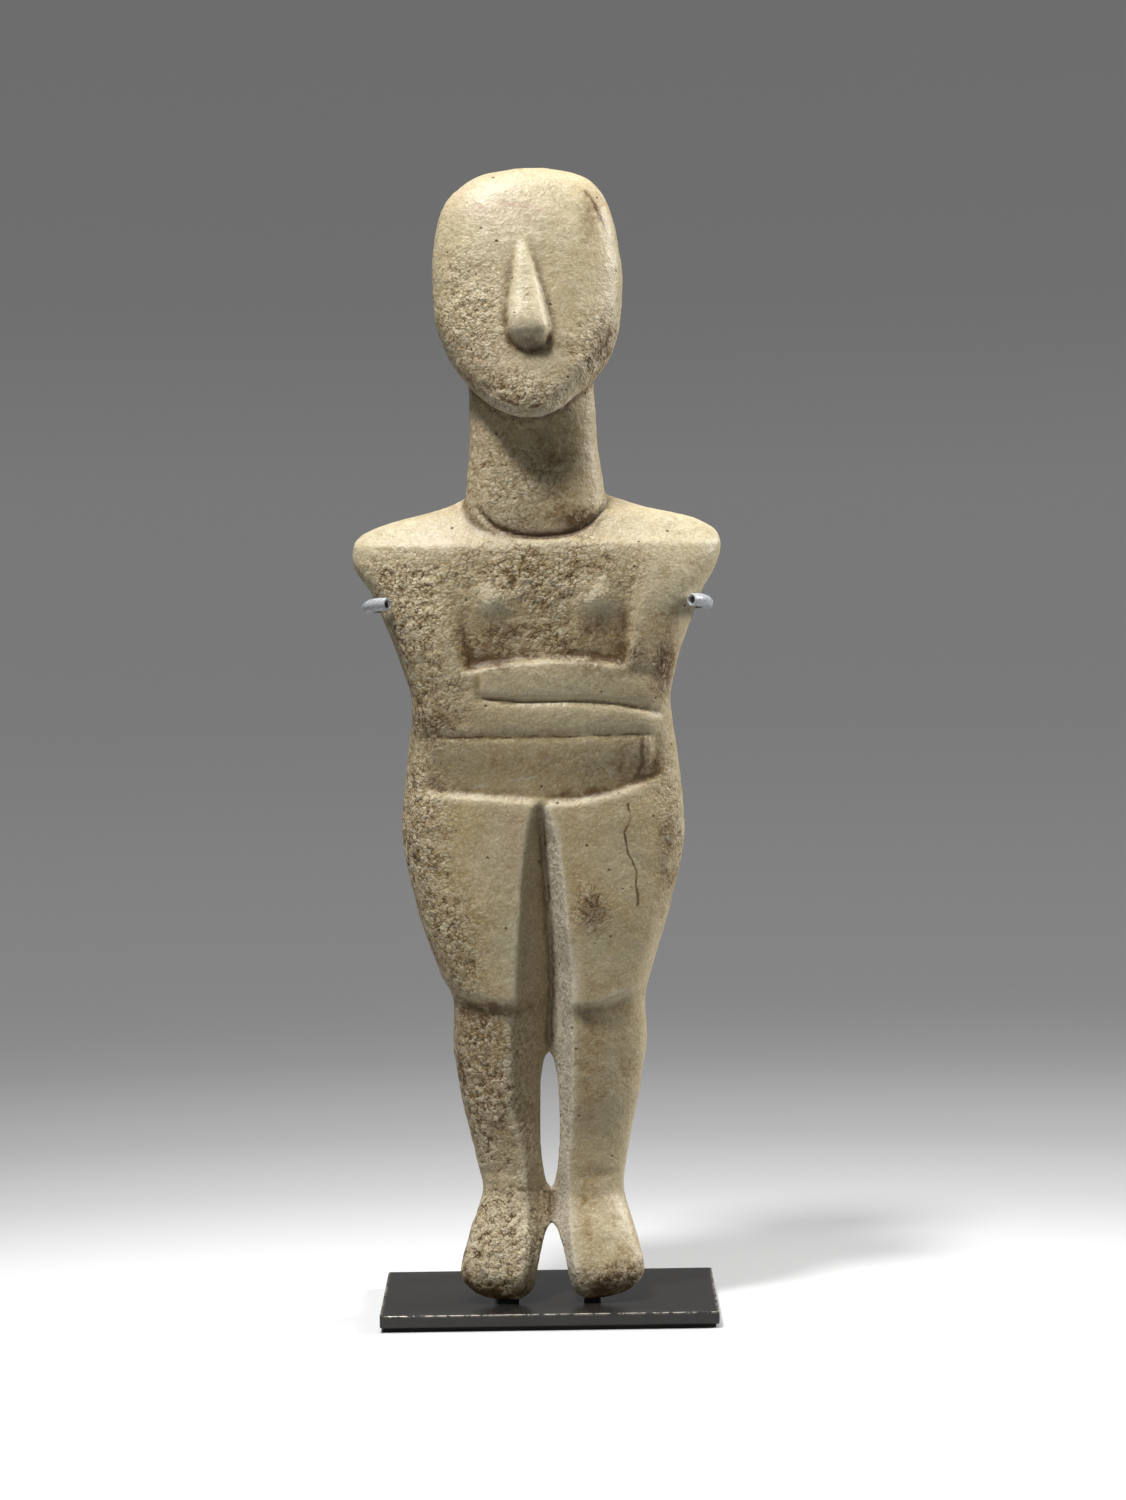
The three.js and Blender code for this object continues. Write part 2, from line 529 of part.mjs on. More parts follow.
// ---------------------------------------------------------------- the stand
// Points that follow the body's section at the clips' height, offset outwards far enough for a
// sleeve to clear the marble, from the tip on the arm's front round the flank to the back.
function prongRoute(side) {
  const section = sectionAt(BODY, CLIP.height);
  const offset = SLEEVE.outerRadius + CLIP.clearance;
  const frontRaise = ARMS.raise;
  const surface = (across, front) => {
    const share = depthShare(across, section.square);
    const raise = front < 0 ? frontRaise * fadeIn(0.1, 0.75, share) : 0;
    const y = section.centreY + front * (section.halfDepth * share + raise);
    return new THREE.Vector2(section.centreX + section.halfWidth * across * side, y);
  };
  const tipAcross = (CLIP.tipX - side * section.centreX) / section.halfWidth;
  const stations = [];
  for (let k = 0; k <= 5; k += 1) stations.push([1 - (1 - tipAcross) * (1 - k / 5) ** 2, -1]);
  for (let k = 1; k <= 6; k += 1) stations.push([1 - 0.45 * (k / 6) ** 2, 1]);
  return stations.map(([across, front], index) => {
    const here = surface(across, front);
    const near = surface(Math.max(0, across - 1e-3), front).sub(here).multiplyScalar(front);
    const normal = new THREE.Vector2(near.y, -near.x).normalize();
    if (normal.x * side < 0) normal.negate();
    const drop = CLIP.drop * fadeIn(0, 8, index);
    return new THREE.Vector3(here.x + normal.x * offset, here.y + normal.y * offset, TOE_LEVEL + CLIP.height - drop);
  });
}

const rodHeight = TOE_LEVEL + CLIP.height - CLIP.drop;
const atPost = new THREE.Vector3(POST.x, POST.y - POST.radius - ROD.radius * 0.4, rodHeight);
const rodCurve = new THREE.CatmullRomCurve3([
  ...prongRoute(-1),
  atPost.clone().setX(POST.x - 4),
  atPost,
  atPost.clone().setX(POST.x + 4),
  ...prongRoute(1).reverse(),
], false, 'centripetal');

// Part of a curve between two lengths measured from its start.
function stretch(curve, from, to, points) {
  const total = curve.getLength();
  const picks = Array.from({ length: points }, (_, k) => from + ((to - from) * k) / (points - 1));
  return new THREE.CatmullRomCurve3(picks.map((length) => curve.getPointAt(clamp01(length / total))));
}

function sweep(shape, path, steps, sides) {
  const options = { extrudePath: path, steps, curveSegments: sides / 2, bevelEnabled: false };
  return new THREE.ExtrudeGeometry(shape, options);
}

function disc(radius) {
  const shape = new THREE.Shape();
  shape.absarc(0, 0, radius, 0, 2 * Math.PI);
  return shape;
}

// Post with a filleted foot, and the rod brazed across its front that ends in the two prongs.
function makeBracket() {
  const top = rodHeight - PLATE_TOP + POST.topAboveRod;
  const profile = [
    [0, CONTACT_GAP],
    [POST.footRadius, CONTACT_GAP],
    [POST.radius + 0.5, POST.footHeight * 0.45],
    [POST.radius, POST.footHeight],
    [POST.radius, top - 1],
    [POST.radius - 0.7, top - 0.2],
    [0, top],
  ].map(([x, y]) => new THREE.Vector2(x, y));
  const post = new THREE.LatheGeometry(profile, 16);
  post.rotateX(Math.PI / 2);
  post.translate(POST.x, POST.y, PLATE_TOP);
  const total = rodCurve.getLength();
  const path = stretch(rodCurve, SLEEVE.overhang, total - SLEEVE.overhang, ROD.steps);
  const rod = sweep(disc(ROD.radius), path, ROD.steps, ROD.sides);
  return toGeometry(toSolid(post).add(toSolid(rod)));
}

function makeSleeve(side) {
  const ring = disc(SLEEVE.outerRadius);
  ring.holes.push(disc(SLEEVE.boreRadius));
  const total = rodCurve.getLength();
  const from = side < 0 ? 0 : total - SLEEVE.length;
  return sweep(ring, stretch(rodCurve, from, from + SLEEVE.length, SLEEVE.steps), SLEEVE.steps, SLEEVE.sides);
}

function makePlate() {
  return slab(PLATE.width, PLATE.depth, PLATE.cornerRadius, [
    { z: 0, inset: PLATE.lowerEdge - 0.05 },
    { z: PLATE.lowerEdge, inset: 0 },
    { z: PLATE.height - PLATE.topEdge, inset: 0 },
    { z: PLATE.height, inset: PLATE.topEdge },
  ]);
}

const makePad = () => slab(PLATE.width - 2 * PAD.inset, PLATE.depth - 2 * PAD.inset, PAD.cornerRadius, [
  { z: 0, inset: 0 },
  { z: PAD.height, inset: 0 },
]);

const makeToeRest = (width) => slab(width, TOE_REST.depth, TOE_REST.depth * 0.4, [
  { z: 0, inset: 0 },
  { z: TOE_REST.height * 0.6, inset: 0 },
  { z: TOE_REST.height, inset: 0.3 },
]);

// ---------------------------------------------------------------- finishes and assembly
const finish = (color, roughness, metalness, more = {}) => (
  new THREE.MeshStandardMaterial({ color, roughness, metalness, ...more }));
const marble = () => finish(0xb5a585, 0.7, 0);
const darkBronze = () => finish(0x2e2a28, 0.35, 0.9);
const blackFelt = () => finish(0x0d0d0d, 0.95, 0);
const blackSteel = () => finish(0x141414, 0.5, 0.8);
const clearPlastic = () => finish(0xdfe6ea, 0.15, 0, { transparent: true, opacity: 0.45 });

function piece(name, geometry, material, x = 0, y = 0, z = 0) {
  const mesh = new THREE.Mesh(geometry, material);
  mesh.name = name;
  mesh.position.set(x, y, z);
  return mesh;
}

const stand = new THREE.Group();
stand.add(
  piece('base_pad', makePad(), blackFelt()),
  piece('base_plate', makePlate(), darkBronze(), 0, 0, PAD.height),
  piece('support_bracket', makeBracket(), blackSteel()),
  piece('sleeve_left', makeSleeve(-1), clearPlastic()),
  piece('sleeve_right', makeSleeve(1), clearPlastic()),
  piece('toe_rest_left', makeToeRest(TOE_REST.leftWidth), blackFelt(), TOE_REST.leftX, TOE_REST.y, PLATE_TOP),
  piece('toe_rest_right', makeToeRest(TOE_REST.rightWidth), blackFelt(), TOE_REST.rightX, TOE_REST.y, PLATE_TOP),
);

const mountedFigurine = new THREE.Group();
mountedFigurine.name = 'mounted_figurine';
mountedFigurine.add(stand, piece('figurine', makeFigurine(), marble(), 0, 0, TOE_LEVEL));

export default mountedFigurine;
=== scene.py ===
"""Looks of a marble figurine with folded arms on its small metal stand.

Everything is in metres, +Z up, the figure facing -Y. The figure's own carving is worked out in
millimetres above the toe tips and is placed by the frame.
"""
import math

import bmesh
import bpy
import numpy as np
from mathutils import Matrix, Vector


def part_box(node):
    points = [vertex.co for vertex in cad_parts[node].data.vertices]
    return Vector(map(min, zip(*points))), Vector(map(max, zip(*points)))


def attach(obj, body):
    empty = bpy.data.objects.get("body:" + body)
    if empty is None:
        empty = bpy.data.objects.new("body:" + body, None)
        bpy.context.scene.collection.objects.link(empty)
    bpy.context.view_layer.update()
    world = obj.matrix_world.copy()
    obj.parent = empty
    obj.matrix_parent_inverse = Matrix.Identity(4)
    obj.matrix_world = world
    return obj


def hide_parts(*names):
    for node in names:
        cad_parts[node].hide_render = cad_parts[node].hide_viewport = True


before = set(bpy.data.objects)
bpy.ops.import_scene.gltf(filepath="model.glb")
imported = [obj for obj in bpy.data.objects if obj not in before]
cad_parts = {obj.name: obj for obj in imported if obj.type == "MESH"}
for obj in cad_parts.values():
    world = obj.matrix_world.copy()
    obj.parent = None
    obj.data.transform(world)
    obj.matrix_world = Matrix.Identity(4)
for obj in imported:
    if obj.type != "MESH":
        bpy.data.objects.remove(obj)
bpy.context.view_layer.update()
scene = bpy.context.scene

MM = 0.001
toe_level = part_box("figurine")[0].z / MM

# ---------------------------------------------------------------- the camera
LENS = 96.0
CAMERA_PLACE = Vector((0.0056, -1.0477, 0.2283))
CAMERA_PITCH = math.radians(4.36)
CAMERA_ROLL = math.radians(0.838)


def make_camera():
    """A long lens a metre in front of the figure, looking slightly down and leaning a little."""
    data = bpy.data.cameras.new("camera")
    data.lens = LENS
    data.clip_start, data.clip_end = 0.01, 50
    camera = bpy.data.objects.new("camera", data)
    scene.collection.objects.link(camera)
    ahead = Vector((0, math.cos(CAMERA_PITCH), -math.sin(CAMERA_PITCH)))
    up = Vector((0, math.sin(CAMERA_PITCH), math.cos(CAMERA_PITCH)))
    turn = Matrix((Vector((1, 0, 0)), up, -ahead)).transposed().to_4x4()
    camera.matrix_world = Matrix.Translation(CAMERA_PLACE) @ turn @ Matrix.Rotation(-CAMERA_ROLL, 4, "Z")
    scene.camera = camera


make_camera()


# ---------------------------------------------------------------- small mathematics
def ease(start, end, value):
    """0 before start, 1 after end and smooth between them."""
    t = np.clip((value - start) / (end - start), 0, 1)
    return t * t * (3 - 2 * t)


def blend(a, b, share):
    return a + (b - a) * share


def read(table, column, height):
    """Smooth curve through one column of a table, by height. Cubic between neighbours, and the
    slope at each entry is the harmonic mean of the slopes on both sides of it."""
    at, value = table[:, 0], table[:, column]
    slope = np.diff(value) / np.diff(at)
    before, after = slope[:-1], slope[1:]
    agree = before * after > 0
    mean = np.where(agree, 2 * before * after / np.where(agree, before + after, 1), 0)
    tangent = np.concatenate([slope[:1], mean, slope[-1:]])
    h = np.clip(height, at[0], at[-1])
    i = np.clip(np.searchsorted(at, h) - 1, 0, len(at) - 2)
    span = at[i + 1] - at[i]
    t = (h - at[i]) / span
    curve = (value[i + 1] - value[i]) * t * t * (3 - 2 * t)
    pull = tangent[i] * span * t * (1 - t) ** 2 - tangent[i + 1] * span * t * t * (1 - t)
    return value[i] + curve + pull


def lattice_noise(points, cell, seed):
    """Smooth noise from about -1 to 1. Each corner of a cubic lattice has a random direction, and
    a point blends the eight dot products of those with its own offsets from the corners."""
    side = 32
    random = np.random.default_rng(seed)
    arrows = random.normal(size=(side, side, side, 3))
    arrows /= np.linalg.norm(arrows, axis=-1, keepdims=True)
    place = points / cell + 0.37 * seed
    base = np.floor(place).astype(int)
    part = place - base
    fade = part ** 3 * (part * (part * 6 - 15) + 10)
    total = np.zeros(len(points))
    for corner in np.ndindex(2, 2, 2):
        share = np.prod(np.where(corner, fade, 1 - fade), axis=1)
        i, j, k = ((base + corner) % side).T
        total += share * np.sum(arrows[i, j, k] * (part - corner), axis=1)
    return 1.5 * total


# ---------------------------------------------------------------- meshes
def new_piece(name, points, faces):
    """An object at the origin from points in millimetres and faces of point numbers."""
    mesh = bpy.data.meshes.new(name)
    mesh.from_pydata((np.asarray(points).reshape(-1, 3) * MM).tolist(), [], faces)
    mesh.update()
    piece = bpy.data.objects.new(name, mesh)
    scene.collection.objects.link(piece)
    return piece


def ring_faces(rows, columns, closed_ends=True):
    """Quads between rings of equally many points, each ring above the last, and the two ends."""
    i, j = np.meshgrid(np.arange(rows - 1), np.arange(columns), indexing="ij")
    after = (j + 1) % columns
    quads = np.stack([i * columns + j, i * columns + after, (i + 1) * columns + after,
                      (i + 1) * columns + j], axis=-1).reshape(-1, 4).tolist()
    if closed_ends:
        bottom = list(range(columns))[::-1]
        top = [(rows - 1) * columns + k for k in range(columns)]
        quads += [bottom, top]
    return quads


def loft(name, rings):
    """A closed piece through rings, an array of rows by columns by 3."""
    return new_piece(name, rings, ring_faces(*rings.shape[:2]))


def outward(piece):
    """Turns every face outwards, after doubles are merged."""
    shape = bmesh.new()
    shape.from_mesh(piece.data)
    bmesh.ops.remove_doubles(shape, verts=shape.verts, dist=1e-7)
    bmesh.ops.recalc_face_normals(shape, faces=shape.faces)
    shape.to_mesh(piece.data)
    shape.free()


def apply_modifiers(piece):
    """Replaces the piece's mesh by what its modifiers make of it."""
    evaluated = piece.evaluated_get(bpy.context.evaluated_depsgraph_get())
    mesh = bpy.data.meshes.new_from_object(evaluated)
    piece.modifiers.clear()
    old, piece.data = piece.data, mesh
    bpy.data.meshes.remove(old)


def combine(piece, other, operation):
    """Adds another closed piece to this one or cuts it away, and deletes it."""
    cut = piece.modifiers.new(operation.lower(), "BOOLEAN")
    cut.operation = operation
    cut.solver = "EXACT"
    cut.object = other
    apply_modifiers(piece)
    bpy.data.objects.remove(other)


def gather(pieces):
    """Puts several pieces' meshes into the first one and deletes the others."""
    shape = bmesh.new()
    for piece in pieces:
        shape.from_mesh(piece.data)
    shape.to_mesh(pieces[0].data)
    shape.free()
    for piece in pieces[1:]:
        bpy.data.objects.remove(piece)
    return pieces[0]


def shade_smooth(piece, angle=None):
    piece.data.shade_smooth()
    if angle is not None:
        piece.data.set_sharp_from_angle(angle=math.radians(angle))


def store(piece, name, values):
    """Keeps one number per point of a piece, for its material."""
    attribute = piece.data.attributes.new(name, "FLOAT", "POINT")
    attribute.data.foreach_set("value", np.asarray(values, np.float32))


def vertex_array(piece, what="co"):
    values = np.empty(len(piece.data.vertices) * 3, np.float32)
    if what == "co":
        piece.data.vertices.foreach_get("co", values)
    else:
        piece.data.vertex_normals.foreach_get("vector", values)
    return values.reshape(-1, 3).astype(float)


# ---------------------------------------------------------------- the figurine's form
# Height above the toe tips, reach to the left and right, depth to the front and back, and the
# power of the section's superellipse.
LEFT, RIGHT, FRONT, BACK, SQUARE = range(1, 6)
BODY = np.array([
    (0, 13.8, 13.6, 15, -11.5, 2.2),
    (1.6, 19.4, 20, 16.6, -9.5, 2.3),
    (7, 23.3, 24.9, 17.6, -5.8, 2.5),
    (17, 20.6, 23, 14.6, 1.6, 2.5),
    (28, 17.2, 19.9, 9.9, 7.2, 2.4),
    (36, 19, 21, 9.6, 7.4, 2.3),
    (54, 22.9, 24.7, 11.8, 9.2, 2.3),
    (68, 24.4, 26.6, 13.2, 9.6, 2.4),
    (77, 24, 26.3, 13.6, 8.2, 2.5),
    (85, 27.4, 28, 13.9, 8.8, 2.5),
    (103, 33.4, 33.5, 14.2, 12, 2.6),
    (123, 37, 37.3, 13.8, 15.4, 2.6),
    (138, 35.6, 36.3, 12.9, 14.4, 2.6),
    (156, 33.8, 33.9, 13.8, 10.8, 2.8),
    (166, 36.4, 35.8, 14, 10.8, 2.9),
    (183, 42.9, 41.9, 13.5, 11.4, 2.9),
    (194, 48.6, 47.1, 12.9, 10.8, 2.5),
    (197.2, 48.3, 47.5, 12.5, 10.4, 2.3),
    (199.6, 46.8, 46.9, 10.6, 9.6, 2.1),
    (203, 39.6, 42.4, 8.2, 8.2, 1.9),
    (207.3, 23.8, 26, 5.4, 5.6, 1.8),
    (211, 16.4, 15, 2.4, 2.6, 1.8),
])
NECK = np.array([
    (190, 17.4, 16.6, 10.2, 8, 2.6),
    (206, 18.9, 17.8, 10.8, 9.4, 2.6),
    (213, 18.6, 17.2, 10.5, 9.8, 2.6),
    (224, 17.7, 15.7, 9.9, 10, 2.6),
    (247, 17.4, 14.6, 9, 9.2, 2.6),
])
HEAD = np.array([
    (230.4, 4.6, 1.2, 17, -13.6, 2),
    (232, 9.2, 5, 18.3, -9, 2.1),
    (235.5, 14.4, 9.8, 18.6, 1, 2.2),
    (240.5, 19.1, 15.8, 18, 7.8, 2.3),
    (247, 23.1, 20, 16.7, 11.8, 2.4),
    (256, 26.2, 22.3, 14.7, 13.4, 2.5),
    (266, 26.8, 22.9, 12.4, 14.8, 2.5),
    (276, 26, 21.8, 10, 14.8, 2.5),
    (285, 23.7, 19.4, 6.9, 13.2, 2.5),
    (290.5, 18.8, 15.9, 4, 10.8, 2.3),
    (293.6, 13, 10.6, 0.9, 8, 2.1),
    (295, 5, 3, -2.2, 5, 2),
])
# The nose: height, reach to the left and right, and how far it stands off the face.
RISE = 3
NOSE = np.array([
    (248, 3.6, 0.8, 0.2),
    (249.6, 5.9, 2.9, 1.7),
    (253.4, 7.1, 3.8, 4.5),
    (255, 7.2, 3.6, 4.7),
    (263, 6.5, 1.7, 3),
    (271, 5.3, -0.3, 1.5),
    (276.4, 4.2, -1.8, 0.1),
])
NOSE_SUNK = 3
NOSE_FLATNESS = 3.4

# The cleft between the legs: height, bottom line, reach of its left and right wall, depth.
CLEFT_MIDDLE, CLEFT_LEFT, CLEFT_RIGHT, CLEFT_DEPTH = range(1, 5)
CLEFT = np.array([
    (0, 0.9, 8, 8.4, 9),
    (18, 1, 5.8, 5.8, 9),
    (34, 0.8, 6, 5.4, 8.5),
    (52, 0.8, 9.1, 6.7, 11),
    (68, 1.2, 9.2, 6.9, 11.4),
    (84, 1.9, 7.5, 6.9, 10.4),
    (104, 1, 6.2, 5.6, 8.6),
    (120, 0.1, 4.5, 3.8, 5.8),
    (131, -0.5, 2.2, 1.4, 1.6),
])
CLEFT_TOP = 130.6

ARM_RAISE, LOWER_ARM, MIDDLE_ARM, UPPER_ARM, ELBOW_CLIMB = 2.2, 147.9, 156.9, 167.3, 9
LEFT_ARM_TOP = np.array([[[172.0]], [[196.0]]])
RIGHT_ARM_TOP = np.array([[[181.0]], [[202.0]]])
FINGER_ENDS = -16.4
CHEST_SINK = 0.9
GROOVE_DEPTH, GROOVE_WIDTH = 1.3, 1.15
LINE_DEPTH, LINE_WIDTH = 0.85, 0.95
BREASTS, BREAST_HEIGHT, BREAST_RADIUS, BREAST_RISE = (-12.2, 15), 183.2, 5.4, 1.7
THIGH_RAISE, KNEE_LEFT, KNEE_RIGHT = 1.7, 78.5, 76.6
FLANK_START, FLANK_END = 27, 33
ANKLE_LEFT, ANKLE_RIGHT, ANKLE_DEPTH, ANKLE_WIDTH = 33, 31.6, 0.7, 2.2


def left_arm_edge(height):
    return -17 - 0.33 * (height - 157.6)


def right_arm_edge(height):
    return 22.2 + 0.2 * (height - 166)


def lower_arm_line(x):
    """Level, turning up round both elbows."""
    past_left, past_right = np.maximum(0, -29 - x), np.maximum(0, x - 29.5)
    return LOWER_ARM + np.minimum(ELBOW_CLIMB, 0.6 * past_left ** 2 + 0.75 * past_right ** 2)


def middle_arm_line(x):
    return MIDDLE_ARM + np.where(x < 0, 0.0055 * x * x, -0.6 * (x / 17) ** 3)


def upper_arm_line(x):
    return UPPER_ARM - 0.0055 * (x - 3) ** 2


def thigh_top(x):
    """A straight slope on the left leg, a parabola on the right one."""
    return np.where(x < 0, 130.3 - 0.085 * x, 129.9 + 0.0066 * x * x)


def knee_line(x):
    """Falls inwards on the left leg and rises outwards on the right one."""
    left = KNEE_LEFT - 0.12 * (x + 14)
    right = KNEE_RIGHT + 0.017 * np.maximum(0, x - 9) ** 2
    return blend(left, right, ease(-3, 5, x))


def groove(distance, half_width):
    """A V round a line: 1 on it and 0 at half_width from it."""
    return np.clip(1 - np.abs(distance) / half_width, 0, 1)


def arm_relief(x, height):
    """Arms stand proud of the chest and lines part the forearms. Under the lowest line the belly
    starts as high as the arms and slopes back, except at the flanks."""
    line_at = lower_arm_line(x)
    above_elbows = ease(-0.9, 0.9, height - line_at)
    raised = ARM_RAISE * above_elbows * (1 - ease(*np.where(x < 0, LEFT_ARM_TOP, RIGHT_ARM_TOP), height))
    above_forearm = ease(-0.5, 1.5, height - upper_arm_line(x))
    softer = 1 + 1.6 * ease(170, 190, height)
    chest = (ease(-1.8 * softer, 2.8 * softer, x - left_arm_edge(height))
             * ease(-1.4 * softer, 2.2 * softer, right_arm_edge(height) - x) * above_forearm)
    sunk = CHEST_SINK * chest * (1 - ease(169, 184, height))
    span = np.clip((x - FINGER_ENDS) * 0.8, 0, 1)
    upper = height > middle_arm_line(x)
    middle = (middle_arm_line(x) + np.where(upper, upper_arm_line(x), line_at)) / 2
    rounding = 0.5 * np.minimum(1, np.abs(height - middle) / 5) ** 2 * above_elbows
    rounding = rounding * (1 - above_forearm) * span
    line = groove(height - middle_arm_line(x), GROOVE_WIDTH) * span * (1 - ease(30.5, 33, x))
    fingers = 0.5 * groove(x - FINGER_ENDS, GROOVE_WIDTH) * ease(156, 158, height)
    fingers = fingers * (1 - ease(165.5, 167, height))
    flank = ease(FLANK_START, FLANK_END, np.abs(x))
    belly = 0.92 * ARM_RAISE * ease(133, 146, height) * (1 - ease(28, 31, np.abs(x)))
    belly = np.maximum(belly, THIGH_RAISE * flank)
    belly = belly * (1 - above_elbows) * ease(-0.6, 1.6, height - thigh_top(x))
    lower = LINE_DEPTH * groove(height - line_at, LINE_WIDTH) * blend(1, 0.6, ease(-8, 12, x))
    lower = lower * (1 - ease(29, 31, np.abs(x)))
    carved = np.maximum(GROOVE_DEPTH * np.maximum(line, fingers), lower)
    return raised * (1 - chest) + belly - sunk - rounding - carved


def chest_relief(x, height):
    """Two low breasts, each a bell of its distance from the centre."""
    rise = 0
    for middle in BREASTS:
        far = np.hypot(x - middle, height - BREAST_HEIGHT) / BREAST_RADIUS
        rise = rise + BREAST_RISE * np.exp(-1.6 * far * far)
    return rise


def leg_relief(x, height):
    """Thighs stand proud between the knees and the groin, and a crease marks each ankle."""
    outside = ease(5, 9, np.abs(x - 0.6))
    above_knee = ease(-1.3, 1.3, height - knee_line(x)) * outside
    thigh = THIGH_RAISE * blend(above_knee, 1, ease(84, 96, height))
    thigh = thigh * (1 - ease(-0.6, 1.6, height - thigh_top(x)))
    crease = np.where(x < 0, ANKLE_LEFT, ANKLE_RIGHT)
    return thigh - 0.6 * ANKLE_DEPTH * groove(height - crease, ANKLE_WIDTH) * outside


def cleft_depth(x, height):
    """Two sloping walls that meet in the cleft's bottom line."""
    middle = read(CLEFT, CLEFT_MIDDLE, height)
    left, right = read(CLEFT, CLEFT_LEFT, height), read(CLEFT, CLEFT_RIGHT, height)
    reach = np.where(x < middle, middle + left, right - middle)
    wall = np.clip(1 - np.abs(x - middle) / reach, 0, 1)
    return np.where(height > CLEFT_TOP, 0, read(CLEFT, CLEFT_DEPTH, height) * wall ** 0.9)


def front_carving(x, height):
    return arm_relief(x, height) + chest_relief(x, height) + leg_relief(x, height) - cleft_depth(x, height)


def back_carving(x, height):
    """A cleft between the legs and a faint channel down the spine."""
    off = x - read(CLEFT, CLEFT_MIDDLE, height)
    legs = 6.5 * (1 - ease(88, 122, height)) * ease(8, 26, height) * groove(off, 8)
    spine = 0.9 * ease(112, 132, height) * (1 - ease(192, 204, height)) * groove(off, 2.4)
    return -legs - spine


def around(front, back):
    """Places round a section, anticlockwise seen from above: across, +1 at the right to -1 at the
    left, closer together there, and side, +1 on the back and -1 on the front."""
    at_back = np.sin(np.linspace(math.pi / 2, -math.pi / 2, back, endpoint=False))
    at_front = np.sin(np.linspace(-math.pi / 2, math.pi / 2, front, endpoint=False))
    side = np.concatenate([np.ones(back), -np.ones(front)])
    return np.concatenate([at_back, at_front]), side


def rounded_rings(table, heights, front, back, carving=None):
    """Rings of a table's superellipses: the depth at a place across is the half depth times
    (1 - across ** square) ** (1 / square), plus the carving, which fades out at the flanks."""
    across, side = around(front, back)
    h = heights[:, None]
    left, right, ahead, behind, square = (read(table, column, h) for column in range(1, 6))
    share = np.clip(1 - np.abs(across) ** square, 0, 1) ** (1 / square)
    x = (right - left) / 2 + (right + left) / 2 * across
    reach = (behind + ahead) / 2 * share
    if carving is not None:
        carved = np.where(side < 0, carving[0](x, h + 0 * x), carving[1](x, h + 0 * x))
        reach = reach + carved * ease(0.1, 0.75, share)
    y = (behind - ahead) / 2 + side * reach
    return np.stack([x, y, h + 0 * x], axis=-1)


def nose_rings():
    """The nose's front is a flat superellipse that stands on the face, its back sunk in the head."""
    across, side = around(40, 6)
    h = np.linspace(NOSE[0, 0], NOSE[-1, 0], 60)[:, None]
    left, right = read(NOSE, LEFT, h), read(NOSE, RIGHT, h)
    share = np.clip(1 - np.abs(across) ** NOSE_FLATNESS, 0, 1) ** (1 / NOSE_FLATNESS)
    x = (right - left) / 2 + (right + left) / 2 * across
    rise = (read(NOSE, RISE, h) + NOSE_SUNK) * share
    y = -read(HEAD, FRONT, h) + NOSE_SUNK - np.where(side < 0, rise, 0)
    return np.stack([x, y, h + 0 * x], axis=-1)


def through_cut(name, outline):
    """A column of an outline in the X-Z plane, from in front of the figure to behind it."""
    points = np.array([[(x, y, z) for x, z in outline] for y in (-30, 30)])
    cutter = loft(name, points)
    outward(cutter)
    return cutter


def calf_gap():
    """A tall narrow oval slot between the calves."""
    angle = np.linspace(0, 2 * math.pi, 60, endpoint=False)
    rise = np.sign(np.sin(angle)) * np.abs(np.sin(angle)) ** (2 / 2.1)
    return through_cut("calf_gap", list(zip(0.7 + 2.7 * np.cos(angle), 45.4 + 18.2 * rise)))


def foot_gap():
    """The notch between the feet: a parabola open at the bottom, flaring at the toes."""
    height = 18.5 * (1 - np.linspace(0, 1, 30) ** 2)
    reach = 5.2 * np.sqrt(1 - height / 18.5) + 3.2 * np.maximum(0, 1 - height / 3.4) ** 2
    reach, height = np.append(reach, reach[-1]), np.append(height, -1)
    right = list(zip(0.9 + reach, height))
    left = list(zip(0.9 - reach[1:], height[1:]))[::-1]
    return through_cut("foot_gap", right + left)


STONE_VOXEL = 0.00078


def neckline(x):
    """Height of the line round the neck's root: a cubic of the distance from its middle."""
    return NECKLINE_LOW + 9 * (np.abs(x - NECKLINE_X) / 17.8) ** 3


NECKLINE_X, NECKLINE_LOW, NECKLINE_REACH = 0.8, 199.8, 18


def neighbours_mean(values, edges, count):
    """Mean of each point's neighbours along the mesh's edges, for whole arrays."""
    total = np.zeros_like(values)
    np.add.at(total, edges[:, 0], values[edges[:, 1]])
    np.add.at(total, edges[:, 1], values[edges[:, 0]])
    return total / count.reshape((-1,) + (1,) * (values.ndim - 1))


def soften(values, edges, count, rounds, share=0.5):
    for _ in range(rounds):
        values = blend(values, neighbours_mean(values, edges, count), share)
    return values


def stone_edges(piece):
    edges = np.empty(len(piece.data.edges) * 2, np.int32)
    piece.data.edges.foreach_get("vertices", edges)
    edges = edges.reshape(-1, 2)
    count = np.bincount(edges.ravel(), minlength=len(piece.data.vertices)).astype(float)
    return edges, np.maximum(count, 1)


